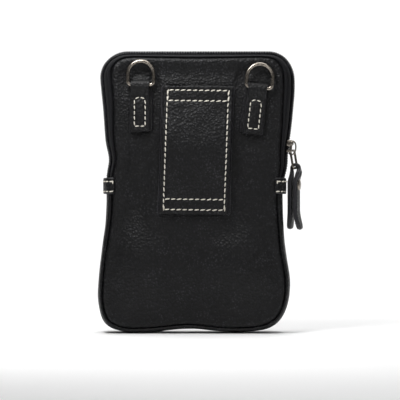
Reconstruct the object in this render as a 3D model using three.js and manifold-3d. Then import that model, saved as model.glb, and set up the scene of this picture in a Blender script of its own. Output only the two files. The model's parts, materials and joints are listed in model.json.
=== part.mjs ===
// A small zip-around belt pouch in black leather: a back panel with a belt loop and two
// D-rings, a gusset round the base, a coil zip over the top, and a front that folds open.
// Millimetres. +Z is up, the back of the pouch faces -Y, and the origin is the middle of the
// flat base that the pouch stands on.
import * as THREE from 'three';
import { mergeVertices } from 'three/addons/utils/BufferGeometryUtils.js';
import Module from 'manifold-3d';

const wasm = await Module();
wasm.setup();

// ---------------------------------------------------------------- driving dimensions

// Outline, seen from the back
const bodyHeight = 180;
const bodyWidth = 124;
const waistIn = 5; // how much narrower each side is at the foot of the zip
const baseIn = 1; // how much narrower each side is near the base
const topCorner = 18;
const baseCorner = 26;
const shoulder = 14; // the blend between a straight zip side and its top corner
const headIn = 0.6; // how much narrower each side is where that blend starts

// Depth
const halfDepth = 13.5; // middle plane to a panel's outer face
const flatHalf = 8; // half of the gusset's flat middle
const panelInset = 5.6; // outline to a panel's edge

// Sheets and the clearance that sewn or glued pieces keep
const leather = 1.6;
const gussetLeather = 1.4;
const lining = 0.5;
const clearance = 0.3;

// Zip: coil rows outside woven tapes, a leather tab over each end
const tape = 0.8;
const coilWidth = 2.6;
const coilHeight = 1.8;
const rowGap = 0.7; // middle plane to a coil row
const tabBottom = 88.5;
const tabHeight = 10.3;
const tabLeather = 1.2;

// Slider, on the straight stretch of the right-hand side
const sliderAboveTab = 19.8; // its middle above the tab's top edge
const sliderLength = 9.5;
const sliderHalfWidth = 4.2;
const sliderPlate = 1.3;
const sliderWeb = 0.8;
const tapeRunning = 0.7; // inner plate to the tapes
const bridgeRise = 4.8;
const bridgeHalfLength = 4.8;
const bridgeThickness = 1.2;
const bridgeWidth = 2.6;
const bridgeDrop = 0.3; // bridge's middle below the slider's

// Link and leather pull
const linkWire = 1.5;
const linkWidth = 7.4; // between the middles of its two long sides
const linkLength = 11.4;
const linkCorner = 1.2;
const linkPlay = 0.25;
const linkBelowMiddle = 2; // link's upper bar below the slider's middle
const linkLean = 9.5; // degrees that it hangs away from the pouch
const pullLeaf = 3;
const leafGap = 0.4;
const pullWidth = 11;
const pullDrop = 39.6; // link's lower bar to the pull's tip
const pullSplay = 1.4; // how far the outer leaf stands off at its tip
const splayDrop = 28; // link's lower bar to where the outer leaf starts to stand off
const neckWidth = 4.6;
const neckDrop = 3.8;
const wireRunning = 0.35; // a wire in what it turns in
const rivetDrop = 10.6;
const rivetCap = 7.5;
const rivetPost = 3.2;
const rivetFoot = 5.4;

// Belt loop
const loopWidth = 44.5;
const loopHeight = 81.5;
const loopBelowTop = 23;
const loopLand = 9;
const loopRamp = 18;
const loopBow = 5.5;
const loopLeather = 1.4;
const loopBacking = 0.9;
const loopLean = 1; // degrees

// D-rings and their straps
const strapWidth = 12.8;
const strapHeight = 32;
const strapLeather = 1.4;
const strapBelowTop = 19.6;
const strapFromLoop = 6.8;
const strapRelax = 6; // how far below the ring the two leaves come together
const rightStrapDrop = 1.6;
const rightStrapLean = 6.5; // degrees
const ringWire = 2.3;
const ringWidth = 16.3; // between the middles of its two legs
const ringHeight = 15.4; // middle of the bar to the middle of the top
const ringCorner = 2.4;

// Sewing
const thread = 0.8;
const seamFromEdge = 3;
const boxSeam = 10; // between the two rows at each end of the belt loop
const strapSeamInset = 3;
const strapSeamHeight = 18;
const tabSeamInset = 2;

// ---------------------------------------------------------------- outline

const halfTop = bodyWidth / 2;
const halfBase = halfTop - baseIn;
const halfFoot = halfTop - waistIn;
const halfHead = halfTop - headIn;
const tabTop = tabBottom + tabHeight;
const footZ = tabTop - clearance;
const headZ = bodyHeight - topCorner - shoulder;

// The stretch that the slider runs on is straight from foot to head.
const foot = new THREE.Vector2(halfFoot, footZ);
const head = new THREE.Vector2(halfHead, headZ);
const alongZip = head.clone().sub(foot).normalize();
const zipTilt = Math.atan2(alongZip.x, alongZip.y);

function outlinePath() {
  // One side from the base's middle to the top's middle, x counted outwards.
  const below = foot.clone().addScaledVector(alongZip, -(footZ - baseCorner) * 0.32);
  const above = head.clone().addScaledVector(alongZip, shoulder * 0.35);
  const side = new THREE.Path();
  side.moveTo(0, 0);
  side.lineTo(halfBase - baseCorner, 0);
  side.absarc(halfBase - baseCorner, baseCorner, baseCorner, -Math.PI / 2, 0, false);
  side.bezierCurveTo(halfBase, baseCorner + (footZ - baseCorner) * 0.32, below.x, below.y, foot.x, foot.y);
  side.lineTo(head.x, head.y);
  side.bezierCurveTo(above.x, above.y, halfTop, headZ + shoulder * 0.65, halfTop, headZ + shoulder);
  side.absarc(halfTop - topCorner, bodyHeight - topCorner, topCorner, 0, Math.PI / 2, false);
  side.lineTo(0, bodyHeight);
  return side;
}

const sidePath = outlinePath();

// A point of the outline. u runs from 0 at the base's middle, up the left side to 0.5 at the
// top's middle, and down the right side to 1; inset moves the point in towards the middle.
function edgePoint(u, inset = 0) {
  const turn = u - Math.floor(u);
  const left = turn <= 0.5;
  const t = THREE.MathUtils.clamp(left ? 2 * turn : 2 - 2 * turn, 0, 1);
  const step = 1e-4;
  const here = sidePath.getPoint(t);
  const ahead = sidePath.getPoint(Math.min(1, t + step));
  const behind = sidePath.getPoint(Math.max(0, t - step));
  const tangent = ahead.sub(behind).normalize();
  const mirror = left ? -1 : 1;
  const outward = new THREE.Vector2(mirror * tangent.y, -tangent.x);
  const point = new THREE.Vector2(mirror * here.x, here.y).addScaledVector(outward, -inset);
  return { point, outward };
}

// The place on the left side whose point, moved in by inset, is at a height.
function edgeAt(z, inset = 0) {
  let low = 0;
  let high = 0.5;
  for (let i = 0; i < 50; i += 1) {
    const middle = (low + high) / 2;
    if (edgePoint(middle, inset).point.y < z) low = middle;
    else high = middle;
  }
  return (low + high) / 2;
}

// The stations that every sheet and section is drawn at: the ends of each straight stretch, and
// an even share of each curve. The left side's stations are mirrored on the right.
const curveParts = { LineCurve: 1, CubicBezierCurve: 4, EllipseCurve: 6 };

function outlineStations() {
  const lengths = sidePath.getCurveLengths();
  const whole = lengths[lengths.length - 1];
  const left = [0];
  sidePath.curves.forEach((curve, i) => {
    const start = i === 0 ? 0 : lengths[i - 1];
    const parts = curveParts[curve.type];
    for (let k = 1; k <= parts; k += 1) {
      left.push(THREE.MathUtils.lerp(start, lengths[i], k / parts) / whole / 2);
    }
  });
  const right = left.slice(1, -1).map((u) => 1 - u).reverse();
  return [...left, ...right];
}

const stations = outlineStations();

// The places of a run from one u to another, both ends and every station between them.
function runStations(from, to) {
  const near = 1e-4;
  const between = [];
  for (const turn of [-1, 0, 1]) {
    between.push(...stations.map((u) => u + turn).filter((u) => u > from + near && u < to - near));
  }
  return [from, ...between, to];
}

// A stretch of the outline to carry a section along. A section's x is the pouch's Y, and its y
// points out of the pouch.
class EdgeRun extends THREE.Curve {
  constructor(from, to) {
    super();
    this.places = runStations(from, to);
    this.steps = this.places.length - 1;
  }

  getSpacedPoints() {
    return this.places.map((u) => {
      const { point } = edgePoint(u);
      return new THREE.Vector3(point.x, 0, point.y);
    });
  }

  computeFrenetFrames() {
    const frames = { tangents: [], normals: [], binormals: [] };
    for (const u of this.places) {
      const { outward } = edgePoint(u);
      const normal = new THREE.Vector3(0, 1, 0);
      const binormal = new THREE.Vector3(outward.x, 0, outward.y);
      frames.normals.push(normal);
      frames.binormals.push(binormal);
      frames.tangents.push(normal.clone().cross(binormal));
    }
    return frames;
  }
}

// ---------------------------------------------------------------- geometry helpers

function bare(geometry) {
  const copy = geometry.clone();
  copy.deleteAttribute('normal');
  copy.deleteAttribute('uv');
  return mergeVertices(copy, 1e-5);
}

function toSolid(geometry) {
  const merged = bare(geometry);
  const vertProperties = new Float32Array(merged.attributes.position.array);
  const triVerts = new Uint32Array(merged.index.array);
  return new wasm.Manifold(new wasm.Mesh({ numProp: 3, vertProperties, triVerts }));
}

function fromSolid(solid) {
  const mesh = solid.getMesh();
  const geometry = new THREE.BufferGeometry();
  geometry.setAttribute('position', new THREE.BufferAttribute(mesh.vertProperties, 3));
  geometry.setIndex(new THREE.BufferAttribute(mesh.triVerts, 1));
  geometry.computeVertexNormals();
  return geometry;
}

function cut(geometry, ...cutters) {
  return fromSolid(cutters.reduce((left, cutter) => left.subtract(toSolid(cutter)), toSolid(geometry)));
}

function common(a, b) {
  return fromSolid(toSolid(a).intersect(toSolid(b)));
}

function joined(a, ...others) {
  return fromSolid(others.reduce((whole, other) => whole.add(toSolid(other)), toSolid(a)));
}

function polygon(points) {
  return new THREE.Shape(points.map(([x, y]) => new THREE.Vector2(x, y)));
}

// A shape drawn in X and Z, with its thickness along Y from yFrom to yTo.
function plate(shape, yFrom, yTo) {
  const geometry = new THREE.ExtrudeGeometry(shape, { depth: yTo - yFrom, bevelEnabled: false });
  return geometry.rotateX(Math.PI / 2).translate(0, yTo, 0);
}

// A profile drawn in Y and Z, carried along X over a width centred on the middle.
function across(shape, width) {
  const geometry = new THREE.ExtrudeGeometry(shape, { depth: width, bevelEnabled: false, curveSegments: 8 });
  return geometry.translate(0, 0, -width / 2).applyMatrix4(
    new THREE.Matrix4().set(0, 0, 1, 0, 1, 0, 0, 0, 0, 1, 0, 0, 0, 0, 0, 1),
  );
}

// A profile drawn in X and Z, carried along Y over a width centred on the middle.
function through(shape, width) {
  return plate(shape, -width / 2, width / 2);
}

function box(x, y, z, centre) {
  return new THREE.BoxGeometry(x, y, z).translate(...centre);
}

function panelShape(from, to, inset) {
  const points = runStations(from, to).map((u) => edgePoint(u, inset).point);
  if (points[0].distanceTo(points[points.length - 1]) < 1e-6) points.pop();
  return new THREE.Shape(points);
}

const arcSteps = 2; // an arc of a section gets twice this many straight edges

// Carries a section along a stretch of the outline.
function sweep(section, from, to) {
  const extrudePath = new EdgeRun(from, to);
  return new THREE.ExtrudeGeometry(section, {
    steps: extrudePath.steps,
    curveSegments: arcSteps,
    extrudePath,
  });
}

// The gusset's arch: flat in the middle, with a quarter ellipse down to each panel's edge. lift
// is how far its outer face stands off the gusset's.
const archBase = -panelInset + clearance;
const archReach = halfDepth - clearance * 2 - flatHalf;

function arch(lift, thickness) {
  const rx = archReach + lift;
  const ry = -archBase + lift;
  const shape = new THREE.Shape();
  shape.moveTo(-flatHalf - rx, archBase);
  shape.absellipse(-flatHalf, archBase, rx, ry, Math.PI, Math.PI / 2, true);
  shape.absellipse(flatHalf, archBase, rx, ry, Math.PI / 2, 0, true);
  shape.absellipse(flatHalf, archBase, rx - thickness, ry - thickness, 0, Math.PI / 2, false);
  shape.absellipse(-flatHalf, archBase, rx - thickness, ry - thickness, Math.PI / 2, Math.PI, false);
  return shape;
}

// One zip tape: a quarter of that arch, below the coil, up to the row's inner edge.
function tapeSection(side) {
  const rise = -archBase - coilHeight - clearance;
  const shape = new THREE.Shape();
  shape.moveTo(-flatHalf - archReach, archBase);
  shape.absellipse(-flatHalf, archBase, archReach, rise, Math.PI, Math.PI / 2, true);
  shape.lineTo(-rowGap, archBase + rise);
  shape.lineTo(-rowGap, archBase + rise - tape);
  shape.absellipse(-flatHalf, archBase, archReach - tape, rise - tape, Math.PI / 2, Math.PI, false);
  return mirrored(shape, side);
}

// One coil row, a bar with its corners taken off.
function coilSection(side) {
  const corner = coilHeight * 0.25;
  const outer = -rowGap - coilWidth;
  const shape = polygon([
    [-rowGap, -coilHeight + corner],
    [-rowGap, -corner],
    [-rowGap - corner, 0],
    [outer + corner, 0],
    [outer, -corner],
    [outer, -coilHeight + corner],
    [outer + corner, -coilHeight],
    [-rowGap - corner, -coilHeight],
  ]);
  return mirrored(shape, side);
}

// The same section on the back half, side -1, or on the front half, side 1.
function mirrored(shape, side) {
  const points = shape.getPoints(arcSteps).map((p) => new THREE.Vector2(-side * p.x, p.y));
  if (points[0].distanceTo(points[points.length - 1]) < 1e-6) points.pop();
  return new THREE.Shape(points);
}

// A closed wire: a rounded frame drawn in X and Z, with a round section.
class WireFrame extends THREE.Curve {
  constructor(path, turn) {
    super();
    this.path = path;
    this.turn = turn;
  }

  getPoint(t) {
    const p = this.path.getPoint(t % 1);
    return new THREE.Vector3(p.x, 0, p.y).applyEuler(this.turn);
  }
}

function wire(path, diameter, turn = new THREE.Euler()) {
  return new THREE.TubeGeometry(new WireFrame(path, turn), 40, diameter / 2, 8, true);
}

// ---------------------------------------------------------------- materials

function finish(color, roughness, metalness) {
  return { color, roughness, metalness };
}

const finishes = {
  leather: finish(0x26262a, 0.55, 0),
  lining: finish(0x1d1e20, 0.9, 0),
  tape: finish(0x161618, 0.85, 0),
  coil: finish(0x141416, 0.4, 0),
  thread: finish(0xdedacd, 0.7, 0),
  metal: finish(0xbdb6ad, 0.25, 1),
};

const pouch = new THREE.Group();

function add(name, geometry, kind, parent = pouch) {
  const mesh = new THREE.Mesh(geometry, new THREE.MeshStandardMaterial(finishes[kind]));
  mesh.name = name;
  parent.add(mesh);
  return mesh;
}

// ---------------------------------------------------------------- back, gusset and front

const backFace = -halfDepth;
const hingeZ = tabTop + clearance * 2;
const gussetEnd = edgeAt(tabBottom + tabHeight / 2 - clearance / 2);
const tapeStart = edgeAt(tabBottom + tabHeight / 2 + clearance / 2);
const flapStart = edgeAt(hingeZ + clearance);
const liningInset = panelInset + clearance + lining;

function shellPlate(name, kind, outerY, thickness, inset, from, to) {
  const inner = outerY - Math.sign(outerY) * thickness;
  const shape = panelShape(from, to, inset);
  add(name, plate(shape, Math.min(outerY, inner), Math.max(outerY, inner)), kind);
}

const liningY = halfDepth - leather - clearance;
shellPlate('back_panel', 'leather', backFace, leather, panelInset, 0, 1);
shellPlate('back_lining', 'lining', -liningY, lining, liningInset, 0, 1);

const lowPanel = edgeAt(hingeZ, panelInset);
const highPanel = edgeAt(hingeZ + clearance, panelInset);
const lowLining = edgeAt(hingeZ, liningInset);
const highLining = edgeAt(hingeZ + clearance, liningInset);
shellPlate('front_panel_lower', 'leather', halfDepth, leather, panelInset, -lowPanel, lowPanel);
shellPlate('front_lining_lower', 'lining', liningY, lining, liningInset, -lowLining, lowLining);
shellPlate('front_panel_upper', 'leather', halfDepth, leather, panelInset, highPanel, 1 - highPanel);
shellPlate('front_lining_upper', 'lining', liningY, lining, liningInset, highLining, 1 - highLining);

add('gusset', sweep(arch(0, gussetLeather), -gussetEnd, gussetEnd), 'leather');
const liningLift = -gussetLeather - clearance;
add('gusset_lining', sweep(arch(liningLift, lining), -gussetEnd, gussetEnd), 'lining');

// ---------------------------------------------------------------- zip

for (const [half, side, start] of [['back', -1, tapeStart], ['front', 1, flapStart]]) {
  add(`zip_tape_${half}`, sweep(tapeSection(side), start, 1 - start), 'tape');
  add(`zip_coil_${half}`, sweep(coilSection(side), start, 1 - start), 'coil');
}

// A leather tab over each end of the zip, with a row of sewing near its two edges.
const tabRange = [edgeAt(tabBottom), edgeAt(tabTop)];
const seamRange = [edgeAt(tabBottom + tabSeamInset), edgeAt(tabTop - tabSeamInset)];
const tabSeamZ = tabBottom + tabHeight / 2;
const tabSeamGap = tabHeight - 2 * tabSeamInset - 2 * thread;
const tabSeamHalf = flatHalf + archReach - 1;

for (const [hand, side] of [['left', -1], ['right', 1]]) {
  const [tabFrom, tabTo] = side < 0 ? tabRange : tabRange.map((u) => 1 - u).reverse();
  const [seamFrom, seamTo] = side < 0 ? seamRange : seamRange.map((u) => 1 - u).reverse();
  add(`zip_end_tab_${hand}`, sweep(arch(clearance + tabLeather, tabLeather), tabFrom, tabTo), 'leather');
  const seamLift = tabLeather + 2 * clearance + thread / 2;
  const band = sweep(arch(seamLift, thread / 2), seamFrom, seamTo);
  const window = box(bodyWidth, 2 * tabSeamHalf, tabSeamGap, [side * halfFoot, 0, tabSeamZ]);
  add(`zip_end_thread_${hand}`, cut(band, window), 'thread');
}

// ---------------------------------------------------------------- slider, link and pull

const sliderAt = edgePoint(1 - edgeAt(tabTop + sliderAboveTab)).point;
const sliderFrame = new THREE.Group();
sliderFrame.position.set(sliderAt.x, 0, sliderAt.y);
sliderFrame.rotation.y = zipTilt;
pouch.add(sliderFrame);

// In this frame x points out of the pouch, y is the pouch's, and z runs up the zip.
const topPlateFrom = clearance + 0.1;
const topPlateTo = topPlateFrom + sliderPlate;
const innerPlateTo = -coilHeight - clearance - tape - tapeRunning;
const innerPlateFrom = innerPlateTo - sliderPlate;

function sliderPlateShape() {
  // Wide at the mouth, which faces down the zip, and narrowing to a round nose.
  const nose = sliderHalfWidth * 0.55;
  const shape = new THREE.Shape();
  shape.moveTo(-sliderHalfWidth, -sliderLength / 2);
  shape.lineTo(sliderHalfWidth, -sliderLength / 2);
  shape.lineTo(sliderHalfWidth, 0);
  shape.bezierCurveTo(sliderHalfWidth, sliderLength * 0.3, nose, sliderLength / 2, 0, sliderLength / 2);
  shape.bezierCurveTo(-nose, sliderLength / 2, -sliderHalfWidth, sliderLength * 0.3, -sliderHalfWidth, 0);
  return shape;
}

function sliderCasting() {
  const plan = across(sliderPlateShape(), 1);
  const top = plan.clone().scale(sliderPlate, 1, 1).translate((topPlateFrom + topPlateTo) / 2, 0, 0);
  const low = plan.clone().scale(sliderPlate, 1, 1).translate((innerPlateFrom + innerPlateTo) / 2, 0, 0);
  const webFrom = innerPlateTo - sliderPlate / 2;
  const webTo = topPlateFrom + sliderPlate / 2;
  const web = box(webTo - webFrom, sliderWeb, sliderLength * 0.7, [(webFrom + webTo) / 2, 0, 0]);
  // The flange on the back side covers the coil; the front side is open, so the front can fold.
  const flangeFrom = -coilHeight + clearance / 2;
  const flangeY = (-rowGap - coilWidth - clearance - sliderHalfWidth) / 2;
  const flangeWidth = sliderHalfWidth - rowGap - coilWidth - clearance;
  const flangeMiddle = (flangeFrom + webTo) / 2;
  const flangeLength = sliderLength * 0.5;
  const flangeAt = [flangeMiddle, flangeY, -flangeLength / 2];
  const flange = box(webTo - flangeFrom, flangeWidth, flangeLength, flangeAt);
  const bow = new THREE.Shape();
  const sunk = topPlateTo - sliderPlate / 2;
  bow.moveTo(sunk, bridgeHalfLength);
  bow.absellipse(sunk, 0, bridgeRise, bridgeHalfLength, Math.PI / 2, -Math.PI / 2, true);
  const innerRise = bridgeRise - bridgeThickness;
  const innerHalf = bridgeHalfLength - bridgeThickness;
  bow.absellipse(sunk, 0, innerRise, innerHalf, -Math.PI / 2, Math.PI / 2, false);
  return joined(top, low, web, flange, through(bow, bridgeWidth).translate(0, 0, -bridgeDrop));
}

add('zip_slider', sliderCasting(), 'metal', sliderFrame);

// The link hangs from the bridge, and the pull from the link's lower bar.
const linkStandOff = topPlateTo + linkWire / 2 + wireRunning + linkPlay;
const linkAt = sliderFrame.localToWorld(new THREE.Vector3(linkStandOff, 0, -linkBelowMiddle));

function linkPath() {
  const half = linkWidth / 2;
  const path = new THREE.Path();
  path.moveTo(half - linkCorner, 0);
  path.lineTo(linkCorner - half, 0);
  path.absarc(linkCorner - half, -linkCorner, linkCorner, Math.PI / 2, Math.PI, false);
  path.lineTo(-half, linkCorner - linkLength);
  path.absarc(linkCorner - half, linkCorner - linkLength, linkCorner, Math.PI, Math.PI * 1.5, false);
  path.lineTo(half - linkCorner, -linkLength);
  path.absarc(half - linkCorner, linkCorner - linkLength, linkCorner, -Math.PI / 2, 0, false);
  path.lineTo(half, -linkCorner);
  path.absarc(half - linkCorner, -linkCorner, linkCorner, 0, Math.PI / 2, false);
  return path;
}

const linkFrame = new THREE.Group();
linkFrame.position.copy(linkAt);
linkFrame.rotation.y = -THREE.MathUtils.degToRad(linkLean);
pouch.add(linkFrame);
add('pull_link', wire(linkPath(), linkWire, new THREE.Euler(0, 0, Math.PI / 2)), 'metal', linkFrame);

linkFrame.updateMatrixWorld(true);
const pullAt = linkFrame.localToWorld(new THREE.Vector3(0, 0, -linkLength));
const pullFrame = new THREE.Group();
pullFrame.position.copy(pullAt);
pouch.add(pullFrame);

function pullProfile() {
  const inner = leafGap / 2;
  const outer = inner + pullLeaf;
  const eye = linkWire / 2 + wireRunning;
  const start = Math.asin(inner / eye);
  const bend = (splayDrop + pullDrop) / 2;
  const shape = new THREE.Shape();
  shape.moveTo(-outer, -pullDrop);
  shape.lineTo(-outer, 0);
  shape.absarc(0, 0, outer, Math.PI, 0, true);
  shape.lineTo(outer, -splayDrop);
  shape.quadraticCurveTo(outer, -bend, outer + pullSplay, -pullDrop);
  shape.lineTo(inner + pullSplay, -pullDrop);
  shape.quadraticCurveTo(inner, -bend, inner, -splayDrop);
  shape.lineTo(inner, -eye * Math.cos(start));
  shape.absarc(0, 0, eye, -Math.PI / 2 + start, Math.PI * 1.5 - start, false);
  shape.lineTo(-inner, -pullDrop);
  return shape;
}

function pullPlan() {
  // Seen square on to a leaf: a narrow neck through the link, round shoulders and a round tip.
  const half = pullWidth / 2;
  const neck = neckWidth / 2;
  const tip = half * 0.5;
  const shape = new THREE.Shape();
  shape.moveTo(-neck, pullLeaf * 2);
  shape.lineTo(-neck, -neckDrop);
  shape.quadraticCurveTo(-half, -neckDrop, -half, -neckDrop - half);
  shape.lineTo(-half, -pullDrop + tip);
  shape.quadraticCurveTo(-half, -pullDrop, tip - half, -pullDrop);
  shape.lineTo(half - tip, -pullDrop);
  shape.quadraticCurveTo(half, -pullDrop, half, -pullDrop + tip);
  shape.lineTo(half, -neckDrop - half);
  shape.quadraticCurveTo(half, -neckDrop, neck, -neckDrop);
  shape.lineTo(neck, pullLeaf * 2);
  return shape;
}

function disc(diameter, from, to) {
  const cylinder = new THREE.CylinderGeometry(diameter / 2, diameter / 2, to - from, 24);
  return cylinder.rotateZ(-Math.PI / 2).translate((from + to) / 2, 0, -rivetDrop);
}

const leafFace = leafGap / 2 + pullLeaf;
const footDepth = 0.9;

function pullStrap() {
  const body = common(through(pullProfile(), pullWidth * 2), across(pullPlan(), pullWidth * 4));
  const hole = disc(rivetPost + 2 * clearance, -leafFace - 1, leafFace + 1);
  const recess = disc(rivetFoot + 2 * clearance, -leafFace - 1, -leafFace + footDepth);
  return cut(body, hole, recess);
}

function rivet() {
  // Turned on its axis: a flush foot, the post through both leaves, and a domed cap outside.
  const capBase = leafFace + clearance;
  const profile = [
    [0, -leafFace],
    [rivetFoot / 2, -leafFace],
    [rivetFoot / 2, -leafFace + footDepth - clearance],
    [rivetPost / 2, -leafFace + footDepth - clearance],
    [rivetPost / 2, capBase],
    [rivetCap / 2, capBase],
    [rivetCap / 2, capBase + 0.4],
    [rivetCap * 0.38, capBase + 1.0],
    [rivetCap * 0.2, capBase + 1.3],
    [0, capBase + 1.4],
  ].map(([r, x]) => new THREE.Vector2(r, x));
  const turned = new THREE.LatheGeometry(profile, 24);
  return turned.rotateZ(-Math.PI / 2).translate(0, 0, -rivetDrop);
}

add('pull_strap', pullStrap(), 'leather', pullFrame);
add('pull_rivet', rivet(), 'metal', pullFrame);

// ---------------------------------------------------------------- belt loop

const loopTop = bodyHeight - loopBelowTop;
const loopFrame = new THREE.Group();
loopFrame.position.set(0, backFace, loopTop - loopHeight / 2);
loopFrame.rotation.y = THREE.MathUtils.degToRad(loopLean);
pouch.add(loopFrame);

const loopSteps = 26; // straight edges along the loop's bow

// How far the loop stands off the back at a height: sewn flat on its lands, bowed between them.
function bow(z) {
  const fromLand = loopHeight / 2 - loopLand - Math.abs(z);
  return loopBow * THREE.MathUtils.smoothstep(fromLand, 0, loopRamp);
}

// A layer of the loop, drawn in Y and Z, from a lift off the back out to its thickness.
function loopLayer(lift, thickness) {
  const near = [];
  const far = [];
  for (let i = 0; i <= loopSteps; i += 1) {
    const z = THREE.MathUtils.lerp(-loopHeight / 2, loopHeight / 2, i / loopSteps);
    near.push([-lift - bow(z), z]);
    far.push([-lift - thickness - bow(z), z]);
  }
  return polygon([...near, ...far.reverse()]);
}

function frameHole(halfX, lowZ, highZ) {
  const hole = new THREE.Path();
  hole.moveTo(-halfX, lowZ);
  hole.lineTo(-halfX, highZ);
  hole.lineTo(halfX, highZ);
  hole.lineTo(halfX, lowZ);
  hole.closePath();
  return hole;
}

// The loop's sewing is a ladder: two long rows, and two short rows at each end.
function loopLadder() {
  const half = loopWidth / 2 - seamFromEdge;
  const top = loopHeight / 2 - seamFromEdge;
  const shape = polygon([[-half, -top], [half, -top], [half, top], [-half, top]]);
  const rung = top - boxSeam;
  shape.holes.push(frameHole(half - thread, rung + thread, top - thread));
  shape.holes.push(frameHole(half - thread, -rung, rung));
  shape.holes.push(frameHole(half - thread, thread - top, -rung - thread));
  return shape;
}

const backingLift = clearance;
const loopLift = backingLift + loopBacking + clearance;
const loopThreadLift = loopLift + loopLeather + clearance;
add('belt_loop_backing', across(loopLayer(backingLift, loopBacking), loopWidth - 2), 'leather', loopFrame);
add('belt_loop', across(loopLayer(loopLift, loopLeather), loopWidth), 'leather', loopFrame);
const loopSkin = across(loopLayer(loopThreadLift, thread / 2), loopWidth);
add('belt_loop_thread', common(loopSkin, plate(loopLadder(), -halfDepth, halfDepth)), 'thread', loopFrame);

// ---------------------------------------------------------------- D-rings and straps

const bore = ringWire / 2 + wireRunning;
const strapRound = bore + strapLeather;
const strapThick = 2 * strapLeather + 0.2;
const strapX = loopWidth / 2 + strapFromLoop + strapWidth / 2;

// The strap folded over the ring's bar, drawn in Y and Z about the bar.
function strapProfile() {
  const foldY = strapRound;
  const leafY = foldY - strapThick;
  const bottom = strapRound - strapHeight;
  const shape = new THREE.Shape();
  shape.moveTo(foldY, bottom);
  shape.lineTo(foldY, 0);
  shape.absarc(0, 0, strapRound, 0, Math.PI, false);
  shape.bezierCurveTo(-foldY, -strapRelax / 2, leafY, -strapRelax / 2, leafY, -strapRelax);
  shape.lineTo(leafY, bottom);
  const eye = new THREE.Path();
  eye.absarc(0, 0, bore, 0, Math.PI * 2, true);
  shape.holes.push(eye);
  return shape;
}

function ringPath() {
  const half = ringWidth / 2;
  const path = new THREE.Path();
  path.moveTo(0, 0);
  path.lineTo(half - ringCorner, 0);
  path.absarc(half - ringCorner, ringCorner, ringCorner, -Math.PI / 2, 0, false);
  path.lineTo(half, ringHeight - half);
  path.absarc(0, ringHeight - half, half, 0, Math.PI, false);
  path.lineTo(-half, ringCorner);
  path.absarc(ringCorner - half, ringCorner, ringCorner, Math.PI, Math.PI * 1.5, false);
  path.lineTo(0, 0);
  return path;
}

function strapSeam() {
  const half = strapWidth / 2 - strapSeamInset;
  const low = strapRound - strapHeight + strapSeamInset;
  const high = low + strapSeamHeight;
  const shape = polygon([[-half, low], [half, low], [half, high], [-half, high]]);
  shape.holes.push(frameHole(half - thread, low + thread, high - thread));
  return shape;
}

for (const [hand, side, drop, lean] of [['left', -1, 0, 0], ['right', 1, rightStrapDrop, rightStrapLean]]) {
  const tilt = THREE.MathUtils.degToRad(lean);
  const barZ = bodyHeight - strapBelowTop - strapRound;
  const footZOfStrap = barZ - strapHeight - drop;
  const footOfStrap = new THREE.Vector3(side * strapX, backFace - clearance - strapRound, footZOfStrap);
  const frame = new THREE.Group();
  frame.position.copy(footOfStrap).add(new THREE.Vector3(0, 0, strapHeight).applyAxisAngle(
    new THREE.Vector3(0, 1, 0),
    tilt,
  ));
  frame.rotation.y = tilt;
  pouch.add(frame);
  add(`ring_strap_${hand}`, across(strapProfile(), strapWidth), 'leather', frame);
  const seamY = strapRound - strapThick - clearance;
  add(`ring_strap_thread_${hand}`, plate(strapSeam(), seamY - thread / 2, seamY), 'thread', frame);
  add(`d_ring_${hand}`, wire(ringPath(), ringWire), 'metal', frame);
}

export default pouch;
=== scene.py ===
"""Looks for a small zip-around belt pouch in black grained leather.

Every piece is a numpy surface worked out in millimetres and turned to metres as its mesh is made,
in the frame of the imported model: +Z is up, the back of the pouch faces -Y, and the origin is the
middle of the base that the pouch stands on.
"""

from __future__ import annotations

import json
import logging
import math
import sys
from dataclasses import dataclass, field
from enum import Enum
from typing import Sequence

import bmesh
import bpy
import numpy as np
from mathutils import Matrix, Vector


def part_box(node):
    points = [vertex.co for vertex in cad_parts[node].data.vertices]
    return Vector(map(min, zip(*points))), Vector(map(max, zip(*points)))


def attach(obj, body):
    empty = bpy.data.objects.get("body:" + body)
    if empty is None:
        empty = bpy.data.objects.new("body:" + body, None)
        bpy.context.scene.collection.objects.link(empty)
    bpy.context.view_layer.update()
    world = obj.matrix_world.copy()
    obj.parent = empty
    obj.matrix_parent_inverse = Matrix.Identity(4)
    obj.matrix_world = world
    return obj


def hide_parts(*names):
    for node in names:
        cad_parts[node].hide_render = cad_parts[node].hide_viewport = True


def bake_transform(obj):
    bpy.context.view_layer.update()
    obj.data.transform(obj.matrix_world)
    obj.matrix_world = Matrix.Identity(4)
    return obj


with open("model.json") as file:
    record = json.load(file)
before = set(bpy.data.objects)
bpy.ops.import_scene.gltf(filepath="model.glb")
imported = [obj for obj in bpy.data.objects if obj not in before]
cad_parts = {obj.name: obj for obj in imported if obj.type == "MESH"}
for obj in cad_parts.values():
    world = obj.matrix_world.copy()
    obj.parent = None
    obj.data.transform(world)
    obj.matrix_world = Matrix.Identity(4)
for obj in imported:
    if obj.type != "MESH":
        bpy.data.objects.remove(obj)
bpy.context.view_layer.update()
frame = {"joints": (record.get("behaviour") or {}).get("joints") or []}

LOG = logging.getLogger("pouch")
MM = 0.001
SEED = 7

Array = np.ndarray
Tree = bpy.types.NodeTree
Socket = bpy.types.NodeSocket
Point = tuple[float, float, float]

ACROSS = np.array([1.0, 0.0, 0.0])
DEEP = np.array([0.0, 1.0, 0.0])
TO_BACK = np.array([0.0, -1.0, 0.0])
UPWARD = np.array([0.0, 0.0, 1.0])


class Body(Enum):
    """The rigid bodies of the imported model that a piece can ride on."""

    POUCH = "pouch"
    FLAP = "mouth_flap"
    SLIDER = "slider"
    LINK = "link"
    PULL = "pull"
    RING_LEFT = "ring_left"
    RING_RIGHT = "ring_right"


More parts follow.
